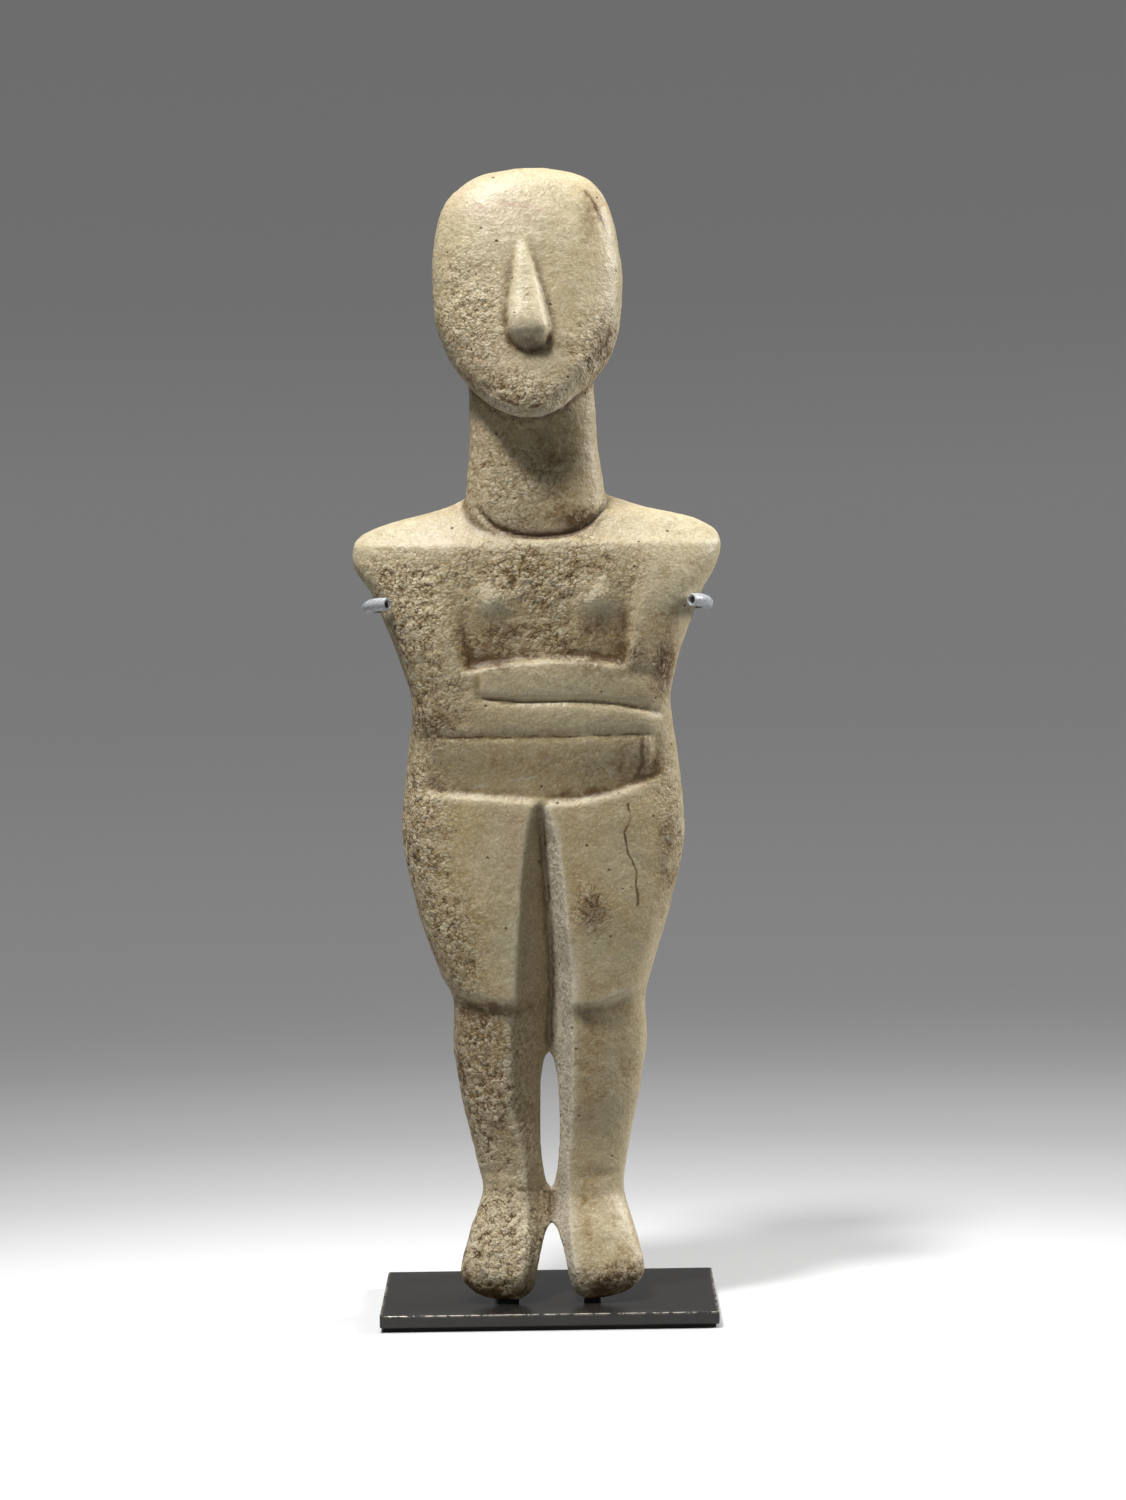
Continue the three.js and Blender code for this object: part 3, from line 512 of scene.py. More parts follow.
# The finish of the stone's front, in soft oval patches: x, height, half width, half height, strength.
FINISH = {
    "stained": [
        (-17, 252, 9, 15, 0.45), (-14, 241, 9, 6, 0.6), (-4, 236, 11, 4, 0.6), (17, 284, 4, 7, 0.6),
        # The last two patches of the next row, on the neck's right, are partly patina and partly painted shade:
        # the warm colour of the chin's shadow.
        (15, 246, 7, 9, 0.7), (-14, 216, 5, 8, 0.7), (2, 222, 13, 10, 0.5), (8, 208, 6, 10, 0.6),
        (0, 190, 22, 7, 0.9), (-10, 173, 12, 5, 0.9), (16, 173, 10, 5, 0.9), (0, 182, 7, 14, 0.7),
        (-36, 178, 8, 16, 0.6), (-29, 158, 7, 9, 0.7), (33, 168, 4, 14, 0.8), (0, 141, 28, 6, 0.45),
        (25, 141, 9, 6, 0.8), (-33, 118, 7, 26, 0.7), (-24, 94, 9, 14, 0.7), (12, 103, 4.5, 7, 0.8),
        (33, 112, 4, 20, 0.6), (-16, 60, 11, 19, 0.95), (12, 62, 5, 15, 0.8), (20, 57, 9, 21, 0.4),
        (-15, 12, 11, 10, 0.45), (16, 6, 9, 5, 0.8), (21, 10, 6, 8, 0.6), (-15, 4, 10, 4, 0.8),
        (10, 22, 3, 14, 0.7), (16, 76, 9, 3, 0.5), (-15, 77, 10, 4, 0.9), (-22, 44, 6, 8, 0.6),
    ],
    "golden": [
        (-15, 112, 16, 22, 0.9), (17, 106, 13, 26, 0.8), (0, 142, 30, 8, 0.7), (0, 157, 30, 9, 0.4),
        # The last patch of the next row, on the neck's right, is partly painted shade: the warm colour of the
        # chin's shadow.
        (0, 180, 26, 14, 0.6), (-33, 170, 10, 20, 0.5), (16, 50, 8, 26, 0.5), (8, 206, 9, 12, 0.4),
        (15, 283, 7, 9, 0.5), (-20, 88, 12, 12, 0.8), (14, 20, 8, 14, 0.3),
    ],
    # Paler, smoother places: partly real polish, partly painted sheen, as on the shoulder tops and the waxy patch
    # on the right thigh.
    "polish_and_sheen": [
        (-12, 183, 6, 5, 0.8), (15, 184, 6, 6, 0.9), (8, 162, 22, 4, 0.7), (6, 152.5, 26, 4, 0.5),
        (-11, 116, 9, 15, 0.7), (-8, 92, 6, 12, 0.9), (20, 116, 8, 12, 0.7), (16, 92, 9, 8, 0.6),
        (0, 280, 18, 10, 0.9), (-1, 262, 6, 14, 1), (10, 262, 10, 14, 0.6), (4, 243, 8, 6, 0.5),
        (34, 184, 7, 10, 0.9), (38, 199, 10, 6, 1), (-36, 200, 12, 5, 0.8), (24, 201, 8, 3, 0.7),
        (17, 50, 7, 25, 0.5), (17, 20, 8, 10, 0.8), (0, 143, 26, 4, 0.3), (-6, 222, 6, 4, 0.3),
    ],
    "pitted": [
        (0, 188, 26, 9, 1), (-2, 174, 22, 7, 0.7), (-36, 180, 10, 18, 1), (-29, 158, 9, 13, 0.9),
        (-34, 118, 8, 30, 1), (-25, 92, 9, 16, 0.9), (-17, 55, 10, 24, 1), (-15, 14, 12, 16, 1),
        (-17, 256, 9, 20, 0.75), (-5, 237, 14, 6, 0.8), (16, 248, 7, 11, 0.9), (-8, 214, 12, 14, 0.6),
        (18, 56, 10, 22, 0.35), (34, 118, 4, 24, 0.6), (17, 5, 10, 5, 0.9), (20, 141, 14, 6, 0.4),
        (13, 102, 4, 7, 0.8), (12, 200, 5, 6, 0.6), (33, 166, 4, 9, 0.8), (24, 168, 7, 8, 0.4),
    ],
    "rosy": [
        (-15, 244, 8, 8, 0.6), (-9, 284, 12, 3, 0.6), (-15, 229, 6, 4, 0.7), (-2, 200.5, 13, 1.4, 0.9),
        (-17, 207, 4, 4, 0.5), (-22, 198, 8, 3, 0.4), (-7, 122, 2.5, 8, 0.6), (-14, 55, 9, 20, 0.4),
        (16, 26, 4, 4, 0.5), (30, 168, 4, 8, 0.5), (6, 92, 2, 12, 0.4), (-33, 125, 5, 10, 0.4),
    ],
    # Brown patches, partly real grime and partly painted shade: under the nose, the chin and the breasts, on the
    # neck's right, at the chest's lower corners, above the right thigh's fold, under the knees and under the
    # toes.
    "dirt_and_shade": [
        (-0.5, 249, 5, 2, 1), (6, 222, 6, 9, 0.5), (9.5, 203.5, 4, 2.5, 0.9), (-13, 168, 6, 3.5, 0.7),
        (16, 168.5, 9, 4, 0.8), (32.5, 166, 2.2, 6, 0.9), (-27, 152, 6, 3, 0.6), (26, 138.5, 5, 3, 0.6),
        (10, 133, 8, 1.2, 0.8), (-14, 76, 10, 2.2, 0.9), (10, 75.5, 4, 2.5, 0.5), (-14, 1.2, 12, 2.6, 1),
        (15, 1.6, 12, 3.2, 1), (22, 7, 5, 4, 0.6), (-22, 6, 4, 5, 0.7), (33, 118, 2.2, 12, 0.5),
        (13, 102.5, 2.5, 4, 0.9), (-9, 174, 6, 3, 0.6), (17, 176, 6, 3, 0.5), (14.5, 283, 2, 5, 0.5),
        (0.5, 204, 9, 3, 0.3), (18.5, 247, 3, 8, 0.5), (-12, 240, 5, 3, 0.3), (-24, 60, 3, 20, 0.4),
    ],
}
# Thin veins, cracks and rubbed lines on the front, with painted shade along the jaw's lower edge and
# the neckline, painted highlights on the jaw's lip and the left thigh's fold, and a darkened lowest arm
# line: half width in millimetres, strength, and the places they run through as x and height.
BROWN_AND_SHADE_LINES = [
    (0.3, 0.9, [(22.2, 129.6), (22.6, 126), (21.4, 122.5), (22.2, 117), (24, 112.4), (24.6, 104)]),
    (0.5, 0.7, [(26.2, 147), (26.4, 141), (24.4, 137), (28.6, 136.6)]),
    (0.45, 0.7, [(13.6, 289), (16.4, 284), (18.6, 277.5)]),
    # Painted shadow line along the jaw's lower edge.
    (0.4, 0.8, [(-13.4, 239), (-8.6, 235.4), (-4, 233), (0.6, 232.6)]),
    # The neckline: brown colour with painted shade of its groove.
    (0.45, 0.9, [(-12.6, 203.6), (-9.6, 201.5), (-4.6, 200), (1.6, 199.6), (6, 200), (10.6, 202), (14, 205)]),
    (0.25, 0.5, [(-30, 152), (-24, 147.6), (0, 147.8), (29, 148)]),
]
PALE_AND_HIGHLIGHT_LINES = [
    # Painted highlight on the lip under the jaw, which lies in shade.
    (0.55, 0.8, [(-13.6, 236.4), (-9.3, 233), (-4.2, 231.1), (0.9, 230.8), (6.1, 232.3), (11.3, 236.4)]),
    # Painted highlight on the left thigh's fold.
    (0.3, 0.45, [(-18.7, 134.2), (-13.5, 135.5), (-8.3, 136.4), (-1.8, 137.1)]),
    (0.3, 0.5, [(14, 78.4), (18, 80), (21, 81)]),
]
ROSE_LINES = [
    (0.6, 0.5, [(-18.7, 283), (-13, 285), (-8.5, 285.6), (1.8, 283.8)]),
    (0.4, 0.4, [(-8, 252), (-8.6, 261), (-6.4, 270)]),
]


def patches(table, x, height, wander):
    """Sum of soft oval patches, their rims made ragged by wander."""
    total = np.zeros_like(x)
    for middle, level, half_width, half_height, strength in table:
        far = ((x - middle) / half_width) ** 2 + ((height - level) / half_height) ** 2
        total = np.maximum(total, strength * np.exp(-0.7 * far))
    return np.clip(total * (1 + 0.9 * wander), 0, 1)


def carve_stone():
    """The whole figure as one skin: the trunk with its carving, less the gaps between the legs,
    and the neck, head and nose, run together by a fine remesh, then worn and pitted."""
    trunk = loft("figurine_stone", rounded_rings(
        BODY, np.linspace(0, BODY[-1, 0], 330), 210, 110, (front_carving, back_carving)))
    for cutter in (calf_gap(), foot_gap()):
        combine(trunk, cutter, "DIFFERENCE")
    neck = loft("neck", rounded_rings(NECK, np.linspace(190, 247, 60), 60, 60))
    turn = (1 - np.cos(np.linspace(0, math.pi, 110))) / 2
    head = loft("head", rounded_rings(HEAD, blend(HEAD[0, 0], HEAD[-1, 0], turn), 110, 90))
    stone = gather([trunk, neck, head, loft("nose", nose_rings())])
    stone.data.transform(Matrix.Translation((0, 0, toe_level * MM)))
    remesh = stone.modifiers.new("one_skin", "REMESH")
    remesh.mode = "VOXEL"
    remesh.voxel_size = STONE_VOXEL
    apply_modifiers(stone)
    weather(stone)
    shade_smooth(stone)
    return stone


def weather(stone):
    """Rounds the stone a little, then moves each point along its normal by layers of noise: slow
    unevenness everywhere, and small dents and pits where the surface is rough. Keeps the finish
    of each place for the material, some of it painted light: painted shade in recesses and in the
    brown patches, painted highlights on ridges, and a lit and a shaded wall in the leg cleft."""
    edges, count = stone_edges(stone)
    points = vertex_array(stone) / MM
    points[:, 2] -= toe_level
    for share in (0.5, -0.52) * 2:
        points = soften(points, edges, count, 1, share)
    stone.data.vertices.foreach_set("co", ((points + (0, 0, toe_level)) * MM).ravel())
    stone.data.update()
    normals = vertex_array(stone, "normal")
    x, height = points[:, 0], points[:, 2]
    facing = ease(-0.35, 0.35, -normals[:, 1])
    root = groove(height - neckline(x), 1.3) * (1 - ease(15, NECKLINE_REACH, np.abs(x - NECKLINE_X)))
    wander = blend(lattice_noise(points, 7, 11), lattice_noise(points, 2.6, 12), 0.45)
    general = np.clip(0.35 + 0.5 * lattice_noise(points, 15, 13), 0, 1)
    finish = {name: patches(table, x, height, wander) for name, table in FINISH.items()}
    pitted = blend(general, finish["pitted"], facing)
    pitted = np.maximum(pitted, 0.7 * ease(0.3, 0.9, -normals[:, 0]) * (1 - facing * 0.5))
    finish["polish_and_sheen"] = finish["polish_and_sheen"] * facing
    finish["stained"] = blend(general * 0.8, finish["stained"], facing)
    finish["golden"] = blend(general * 0.7, finish["golden"], facing)
    finish["rosy"] = blend(0.3 * general, finish["rosy"], facing)
    finish["dirt_and_shade"] = finish["dirt_and_shade"] * facing
    pitted = finish["pitted"] = np.clip(pitted - 0.5 * finish["polish_and_sheen"], 0.05, 1)
    slow = 0.22 * lattice_noise(points, 14, 21) + 0.12 * lattice_noise(points, 6, 22)
    dents = 0.11 * lattice_noise(points, 3.1, 23) + 0.11 * lattice_noise(points, 1.8, 24)
    holes = ease(0.25, 0.75, lattice_noise(points, 2.4, 25)) * 0.35
    move = slow + dents * (0.25 + pitted) - holes * ease(0.3, 0.9, pitted) - 0.9 * root * facing
    points = points + normals * move[:, None]
    points[:, 2] -= np.min(points[:, 2]) * (1 - ease(0, 5, points[:, 2]))
    stone.data.vertices.foreach_set("co", ((points + (0, 0, toe_level)) * MM).ravel())
    stone.data.update()
    normals = vertex_array(stone, "normal")
    bend = np.sum((neighbours_mean(points, edges, count) - points) * normals, axis=1)
    fine = soften(bend, edges, count, 1)
    broad = soften(bend, edges, count, 14)
    # Concave places, turned brown in the material: partly grime, partly painted shade in the recesses.
    store(stone, "hollow_dirt_and_shade", np.clip(fine * 12 + broad * 12 - 0.05, 0, 1))
    # Convex places, for a painted highlight along the ridges.
    store(stone, "ridge", np.clip(-fine * 10 - broad * 10 - 0.05, 0, 1))
    for name, values in finish.items():
        store(stone, name, values)
    # The cleft's inner walls by the way they face: the wall facing right gets painted shade and the wall facing
    # left painted light, as the key light comes from the left.
    inner = ease(0.15, 0.5, np.abs(normals[:, 0])) * ease(10, 7, np.abs(x)) * (height < 130) * facing
    store(stone, "shaded_cleft_wall", inner * (normals[:, 0] > 0))
    store(stone, "lit_cleft_wall", inner * (normals[:, 0] < 0))


# ---------------------------------------------------------------- the stand's form
def slab(name, low, high, corner, profile, corner_steps=8, inner_rings=6):
    """A flat slab with rounded corners. Its profile gives the height above its underside and how
    far the outline is drawn in, in millimetres. Rings run from the middle of the underside round
    the edge to the middle of the top."""
    (x0, y0, z0), (x1, y1, _) = low / MM, high / MM
    turn = np.linspace(0, math.pi / 2, corner_steps + 1)
    angles = np.concatenate([turn + quarter * math.pi / 2 for quarter in range(4)])
    signs = np.repeat([(1, 1), (-1, 1), (-1, -1), (1, -1)], corner_steps + 1, axis=0)
    middle = np.array([(x0 + x1) / 2, (y0 + y1) / 2])
    centres = signs * (np.array([(x1 - x0) / 2, (y1 - y0) / 2]) - corner)
    rings = []
    edge = [(z, inset, 1.0) for z, inset in profile]
    shares = np.append(np.linspace(0.02, 1, inner_rings, endpoint=False), 0.985)
    path = ([(*edge[0][:2], s) for s in shares] + edge + [(*edge[-1][:2], s) for s in shares[::-1]])
    for z, inset, share in path:
        arc = np.stack([np.cos(angles), np.sin(angles)], axis=-1) * (corner - inset)
        flat = middle + (centres + arc) * share
        rings.append(np.column_stack([flat, np.full(len(flat), z0 + z)]))
    piece = loft(name, np.array(rings))
    return piece


def round_profile(height, lower, upper, steps=5):
    """Side of a slab with a rounded lower and upper edge, as heights and insets."""
    turn = np.linspace(0, math.pi / 2, steps)
    below = [(lower * (1 - math.cos(t)), lower * (1 - math.sin(t))) for t in turn]
    above = [(height - upper * (1 - math.sin(t)), upper * (1 - math.cos(t))) for t in turn]
    sides = [(h, 0.0) for h in np.linspace(lower, height - upper, 8)[1:-1]]
    return below + sides + above


def tube(name, path, radii, sides, bore=None):
    """A round bar, or with a bore a pipe, along a path: at each place a circle square to it, laid
    out by a direction that turns as little as possible."""
    ahead = np.gradient(path, axis=0)
    ahead /= np.linalg.norm(ahead, axis=1, keepdims=True)
    up = np.cross(ahead, np.array([0.13, 0.05, 1.0]))
    up /= np.linalg.norm(up, axis=1, keepdims=True)
    side = np.cross(up, ahead)
    angle = np.linspace(0, 2 * math.pi, sides, endpoint=False)[None, :, None]
    circle = np.cos(angle) * up[:, None] + np.sin(angle) * side[:, None]
    outer = path[:, None] + circle * radii[:, None, None]
    if bore is None:
        piece = loft(name, outer)
    else:
        inner = path[:, None] + circle * bore[:, None, None]
        rings = np.concatenate([outer, inner[::-1]])
        rows = len(rings)
        faces = ring_faces(rows, sides, closed_ends=False)
        j = np.arange(sides)
        after = (j + 1) % sides
        last = (rows - 1) * sides
        faces += np.stack([last + j, last + after, after, j], axis=-1).tolist()
        piece = new_piece(name, rings, faces)
    outward(piece)
    return piece


CLIP_HEIGHT, CLIP_TIP, CLIP_DROP, CLIP_CLEARANCE = 182.6, 38.1, 2.2, 0.35
SLEEVE_RADIUS, SLEEVE_BORE, SLEEVE_LENGTH, SLEEVE_OVERHANG = 1.7, 1.12, 11, 0.5
ROD_RADIUS = 0.95
POST_X, POST_Y, POST_RADIUS, POST_RISE, FOOT_RADIUS, FOOT_HEIGHT = -12.5, 19.6, 2.4, 3.2, 4, 2.4
CONTACT_GAP = 0.1


def prong_route(side):
    """Points round one upper arm, offset from the marble far enough for a sleeve to clear it."""
    left, right, ahead, behind, square = (float(read(BODY, c, CLIP_HEIGHT)) for c in range(1, 6))
    centre_x, half_width = (right - left) / 2, (right + left) / 2
    centre_y, half_depth = (behind - ahead) / 2, (behind + ahead) / 2
    tip = (CLIP_TIP - side * centre_x) / half_width
    steps = np.arange(6) / 5
    across = np.concatenate([1 - (1 - tip) * (1 - steps) ** 2, 1 - 0.45 * (np.arange(1, 7) / 6) ** 2])
    front = np.concatenate([-np.ones(6), np.ones(6)])

    def surface(a):
        share = np.clip(1 - a ** square, 0, 1) ** (1 / square)
        raised = np.where(front < 0, ARM_RAISE * ease(0.1, 0.75, share), 0)
        return np.stack([centre_x + half_width * a * side,
                         centre_y + front * (half_depth * share + raised)], axis=-1)

    here = surface(across)
    along = (surface(np.maximum(0, across - 1e-3)) - here) * front[:, None]
    normal = np.stack([along[:, 1], -along[:, 0]], axis=-1)
    normal /= np.linalg.norm(normal, axis=1, keepdims=True)
    normal *= np.where(normal[:, :1] * side < 0, -1, 1)
    flat = here + normal * (SLEEVE_RADIUS + CLIP_CLEARANCE)
    z = toe_level + CLIP_HEIGHT - CLIP_DROP * ease(0, 8, np.arange(12))
    return np.column_stack([flat, z])


def through(points, per_span=40):
    """A curve through points: between two of them it is the cubic whose slopes are set by the
    square roots of the distances to their neighbours."""
    ends = [2 * points[0] - points[1], *points, 2 * points[-1] - points[-2]]
    p = np.array(ends)
    knots = np.concatenate([[0], np.cumsum(np.linalg.norm(np.diff(p, axis=0), axis=1) ** 0.5)])
    pieces = []
    for i in range(1, len(p) - 2):
        t = np.linspace(knots[i], knots[i + 1], per_span, endpoint=i == len(p) - 3)[:, None]
        k0, k1, k2, k3 = knots[i - 1:i + 3]
        a = [blend(p[i - 1 + n], p[i + n], (t - k) / (m - k))
             for n, (k, m) in enumerate(((k0, k1), (k1, k2), (k2, k3)))]
        b = [blend(a[0], a[1], (t - k0) / (k2 - k0)), blend(a[1], a[2], (t - k1) / (k3 - k1))]
        pieces.append(blend(b[0], b[1], (t - k1) / (k2 - k1)))
    return np.concatenate(pieces)


def stretch(curve, start, end, count):
    """Part of a curve between two lengths measured from its start, in even steps."""
    length = np.concatenate([[0], np.cumsum(np.linalg.norm(np.diff(curve, axis=0), axis=1))])
    at = np.linspace(start, end, count)
    return np.stack([np.interp(at, length, curve[:, k]) for k in range(3)], axis=-1)


rod_height = toe_level + CLIP_HEIGHT - CLIP_DROP
post_face = POST_Y - POST_RADIUS - ROD_RADIUS * 0.4
rod_line = through(np.concatenate([
    prong_route(-1),
    [(POST_X + step, post_face, rod_height) for step in (-4, 0, 4)],
    prong_route(1)[::-1],
]))
rod_length = float(np.sum(np.linalg.norm(np.diff(rod_line, axis=0), axis=1)))


def turned(name, profile, x, y, z, sides=48):
    """A turned piece: its profile of radii and heights carried round a vertical axis."""
    angle = np.linspace(0, 2 * math.pi, sides, endpoint=False)
    radius, height = np.array(profile).T
    rings = np.stack([x + radius[:, None] * np.cos(angle), y + radius[:, None] * np.sin(angle),
                      (z + height)[:, None] + 0 * angle], axis=-1)
    return loft(name, rings)


def make_bracket():
    """The post with its filleted foot and domed top, the rod, and the braze that joins them."""
    top = rod_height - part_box("base_plate")[1].z / MM + POST_RISE
    turn = np.linspace(0, math.pi / 2, 9)
    flare = [(POST_RADIUS + 1.1 * (1 - math.sin(t)), FOOT_HEIGHT - 1.7 * math.cos(t)) for t in turn]
    dome = [(POST_RADIUS - 0.8 * (1 - math.cos(t)), top - 0.8 * (1 - math.sin(t))) for t in turn]
    foot = [(FOOT_RADIUS - 0.25, CONTACT_GAP), (FOOT_RADIUS, CONTACT_GAP + 0.2),
            (FOOT_RADIUS, 0.5), (FOOT_RADIUS - 0.2, 0.68)]
    shaft = [(POST_RADIUS, h) for h in np.linspace(FOOT_HEIGHT + 1, top - 2, 30)]
    plate_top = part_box("base_plate")[1].z / MM
    bracket = turned("bracket_steel", foot + flare + shaft + dome + [(0.4, top)], POST_X, POST_Y, plate_top)
    rod = stretch(rod_line, SLEEVE_OVERHANG, rod_length - SLEEVE_OVERHANG, 220)
    ends = np.minimum(np.arange(220), np.arange(220)[::-1])
    radii = ROD_RADIUS * np.where(ends == 0, 0.9, 1)
    combine(bracket, tube("rod", rod, radii, 24), "UNION")
    count = 24
    braze_line = np.column_stack([np.linspace(-3.4, 3.4, count) + POST_X, np.full(count, post_face + 0.5),
                                  np.full(count, rod_height)])
    swell = np.sin(np.linspace(0, math.pi, count)) ** 0.7
    combine(bracket, tube("braze", braze_line, 0.35 + 1.05 * swell, 24), "UNION")
    outward(bracket)
    shade_smooth(bracket, 40)
    return bracket


def make_sleeve(name, start):
    """A short length of clear tube pushed over the rod, its two ends cut and slightly flared."""
    count = 60
    path = stretch(rod_line, start, start + SLEEVE_LENGTH, count)
    along = np.linspace(0, 1, count)
    ends = np.minimum(along, 1 - along) * SLEEVE_LENGTH
    lip = np.exp(-(ends / 0.12) ** 2)
    radii = SLEEVE_RADIUS - 0.14 * lip
    bore = SLEEVE_BORE + 0.1 * lip
    sleeve = tube(name, path, radii, 40, bore)
    shade_smooth(sleeve, 50)
    return sleeve


# ---------------------------------------------------------------- material tools
class Paint:
    """A material's node tree, with short ways to add and join nodes."""

    def __init__(self, tree):
        self.tree = tree

    def add(self, kind, inputs=None, **settings):
        node = self.tree.nodes.new(kind)
        for key, value in settings.items():
            setattr(node, key, value)
        for key, value in (inputs or {}).items():
            self.set(node.inputs[key], value)
        return node

    def set(self, socket, value):
        if isinstance(value, bpy.types.NodeSocket):
            self.tree.links.new(value, socket)
        else:
            socket.default_value = value

    def attribute(self, name):
        return self.add("ShaderNodeAttribute", attribute_name=name).outputs["Fac"]

    def noise(self, place, scale, detail=3.0, roughness=0.55, distortion=0.0):
        node = self.add("ShaderNodeTexNoise", {
            "Vector": place, "Scale": scale, "Detail": detail, "Roughness": roughness,
            "Distortion": distortion})
        return node.outputs["Fac"]

    def mask(self, value, low, high):
        """0 below low, 1 above high, smooth between."""
        node = self.add("ShaderNodeMapRange", {"Value": value, "From Min": low, "From Max": high},
                        interpolation_type="SMOOTHSTEP")
        return node.outputs["Result"]

    def sums(self, operation, a, b, clamp=False):
        node = self.add("ShaderNodeMath", {0: a, 1: b}, operation=operation, use_clamp=clamp)
        return node.outputs[0]

    def vector(self, operation, *values, output="Vector", **named):
        inputs = dict(enumerate(values)) | named
        return self.add("ShaderNodeVectorMath", inputs, operation=operation).outputs[output]

    def times(self, a, b):
        return self.sums("MULTIPLY", a, b)

    def plus(self, a, b):
        return self.sums("ADD", a, b)

    def mix(self, share, a, b, mode="MIX"):
        """Colour a with colour b over it by share."""
        node = self.add("ShaderNodeMix", data_type="RGBA", blend_type=mode)
        self.set(node.inputs[0], share)
        for socket, value in ((node.inputs[6], a), (node.inputs[7], b)):
            self.set(socket, value if isinstance(value, bpy.types.NodeSocket) else (*value, 1))
        return node.outputs[2]

    def group(self, tree, **inputs):
        node = self.add("ShaderNodeGroup", node_tree=tree)
        for key, value in inputs.items():
            self.set(node.inputs[key.replace("_", " ")], value)
        return node.outputs


def new_material(name):
    """A material with one Principled shader, and its object coordinates."""
    material = bpy.data.materials.new(name)
    material.use_nodes = True
    paint = Paint(material.node_tree)
    shader = next(n for n in material.node_tree.nodes if n.type == "BSDF_PRINCIPLED")
    place = paint.add("ShaderNodeTexCoord").outputs["Object"]
    return material, paint, shader, place


def new_group(name, inputs, outputs):
    """A shader node group with float or vector inputs and its outputs."""
    tree = bpy.data.node_groups.new(name, "ShaderNodeTree")
    for label, kind, value in inputs:
        socket = tree.interface.new_socket(label, in_out="INPUT", socket_type=kind)
        if value is not None:
            socket.default_value = value
    for label, kind in outputs:
        tree.interface.new_socket(label, in_out="OUTPUT", socket_type=kind)
    paint = Paint(tree)
    inside = paint.add("NodeGroupInput").outputs
    outside = paint.add("NodeGroupOutput").inputs
    return tree, paint, inside, outside


FLOAT, VECTOR, COLOUR = "NodeSocketFloat", "NodeSocketVector", "NodeSocketColor"


def mottle_group():
    """Cloudy patches at two sizes, from 0 to 1."""
    tree, paint, inside, outside = new_group(
        "mottle", [("Place", VECTOR, None), ("Scale", FLOAT, 100.0), ("Contrast", FLOAT, 0.2)],
        [("Mask", FLOAT)])
    broad = paint.noise(inside["Place"], inside["Scale"], 4, 0.6, 0.4)
    fine = paint.noise(inside["Place"], paint.times(inside["Scale"], 3.7), 3, 0.6, 0.2)
    both = paint.plus(paint.times(broad, 0.65), paint.times(fine, 0.35))
    low = paint.sums("SUBTRACT", 0.5, inside["Contrast"])
    high = paint.plus(0.5, inside["Contrast"])
    paint.set(outside["Mask"], paint.mask(both, low, high))
    return tree


def grain_group():
    """Fine grain as a height, with a mask of its pits."""
    tree, paint, inside, outside = new_group(
        "grain", [("Place", VECTOR, None), ("Scale", FLOAT, 800.0)],
        [("Height", FLOAT), ("Pits", FLOAT)])
    coarse = paint.noise(inside["Place"], inside["Scale"], 4, 0.65, 0.3)
    fine = paint.noise(inside["Place"], paint.times(inside["Scale"], 3.1), 2, 0.5)
    height = paint.plus(paint.times(coarse, 0.7), paint.times(fine, 0.3))
    paint.set(outside["Height"], height)
    paint.set(outside["Pits"], paint.mask(height, 0.47, 0.34))
    return tree


def crystal_group():
    """Sugary grain of small domes: their height, a tone of its own for each one, and the gaps
    between them."""
    tree, paint, inside, outside = new_group(
        "crystals", [("Place", VECTOR, None), ("Scale", FLOAT, 1200.0)],
        [("Height", FLOAT), ("Tone", FLOAT), ("Gaps", FLOAT)])
    wobble = paint.add("ShaderNodeTexNoise", {"Vector": inside["Place"], "Scale": inside["Scale"], "Detail": 1.0})
    offset = paint.vector("SUBTRACT", wobble.outputs["Color"], (0.5, 0.5, 0.5))
    reach = paint.sums("DIVIDE", 1.1, inside["Scale"])
    offset = paint.vector("SCALE", offset, Scale=reach)
    moved = paint.vector("ADD", inside["Place"], offset)
    cells = paint.add("ShaderNodeTexVoronoi", {"Vector": moved, "Scale": inside["Scale"]}).outputs
    paint.set(outside["Height"], paint.sums("SUBTRACT", 1.0, cells["Distance"]))
    paint.set(outside["Tone"], paint.add("ShaderNodeSeparateColor", {0: cells["Color"]}).outputs[0])
    paint.set(outside["Gaps"], paint.mask(cells["Distance"], 0.42, 0.8))
    return tree


def segment_group():
    """Distance in the X-Z plane to the straight line from one place along a vector: the place's
    offset less the nearest point, which is the vector scaled by their dot product over its square."""
    tree, paint, inside, outside = new_group(
        "near_segment", [("Place", VECTOR, None), ("From", VECTOR, None), ("Along", VECTOR, None)],
        [("Distance", FLOAT)])
    offset = paint.vector("SUBTRACT", inside["Place"], inside["From"])
    flat = paint.vector("MULTIPLY", offset, (1, 0, 1))
    dot = paint.vector("DOT_PRODUCT", flat, inside["Along"], output="Value")
    square = paint.vector("DOT_PRODUCT", inside["Along"], inside["Along"], output="Value")
    nearest = paint.vector("SCALE", inside["Along"], Scale=paint.sums("DIVIDE", dot, square, True))
    gap = paint.vector("SUBTRACT", flat, nearest)
    paint.set(outside["Distance"], paint.vector("LENGTH", gap, output="Value"))
    return tree


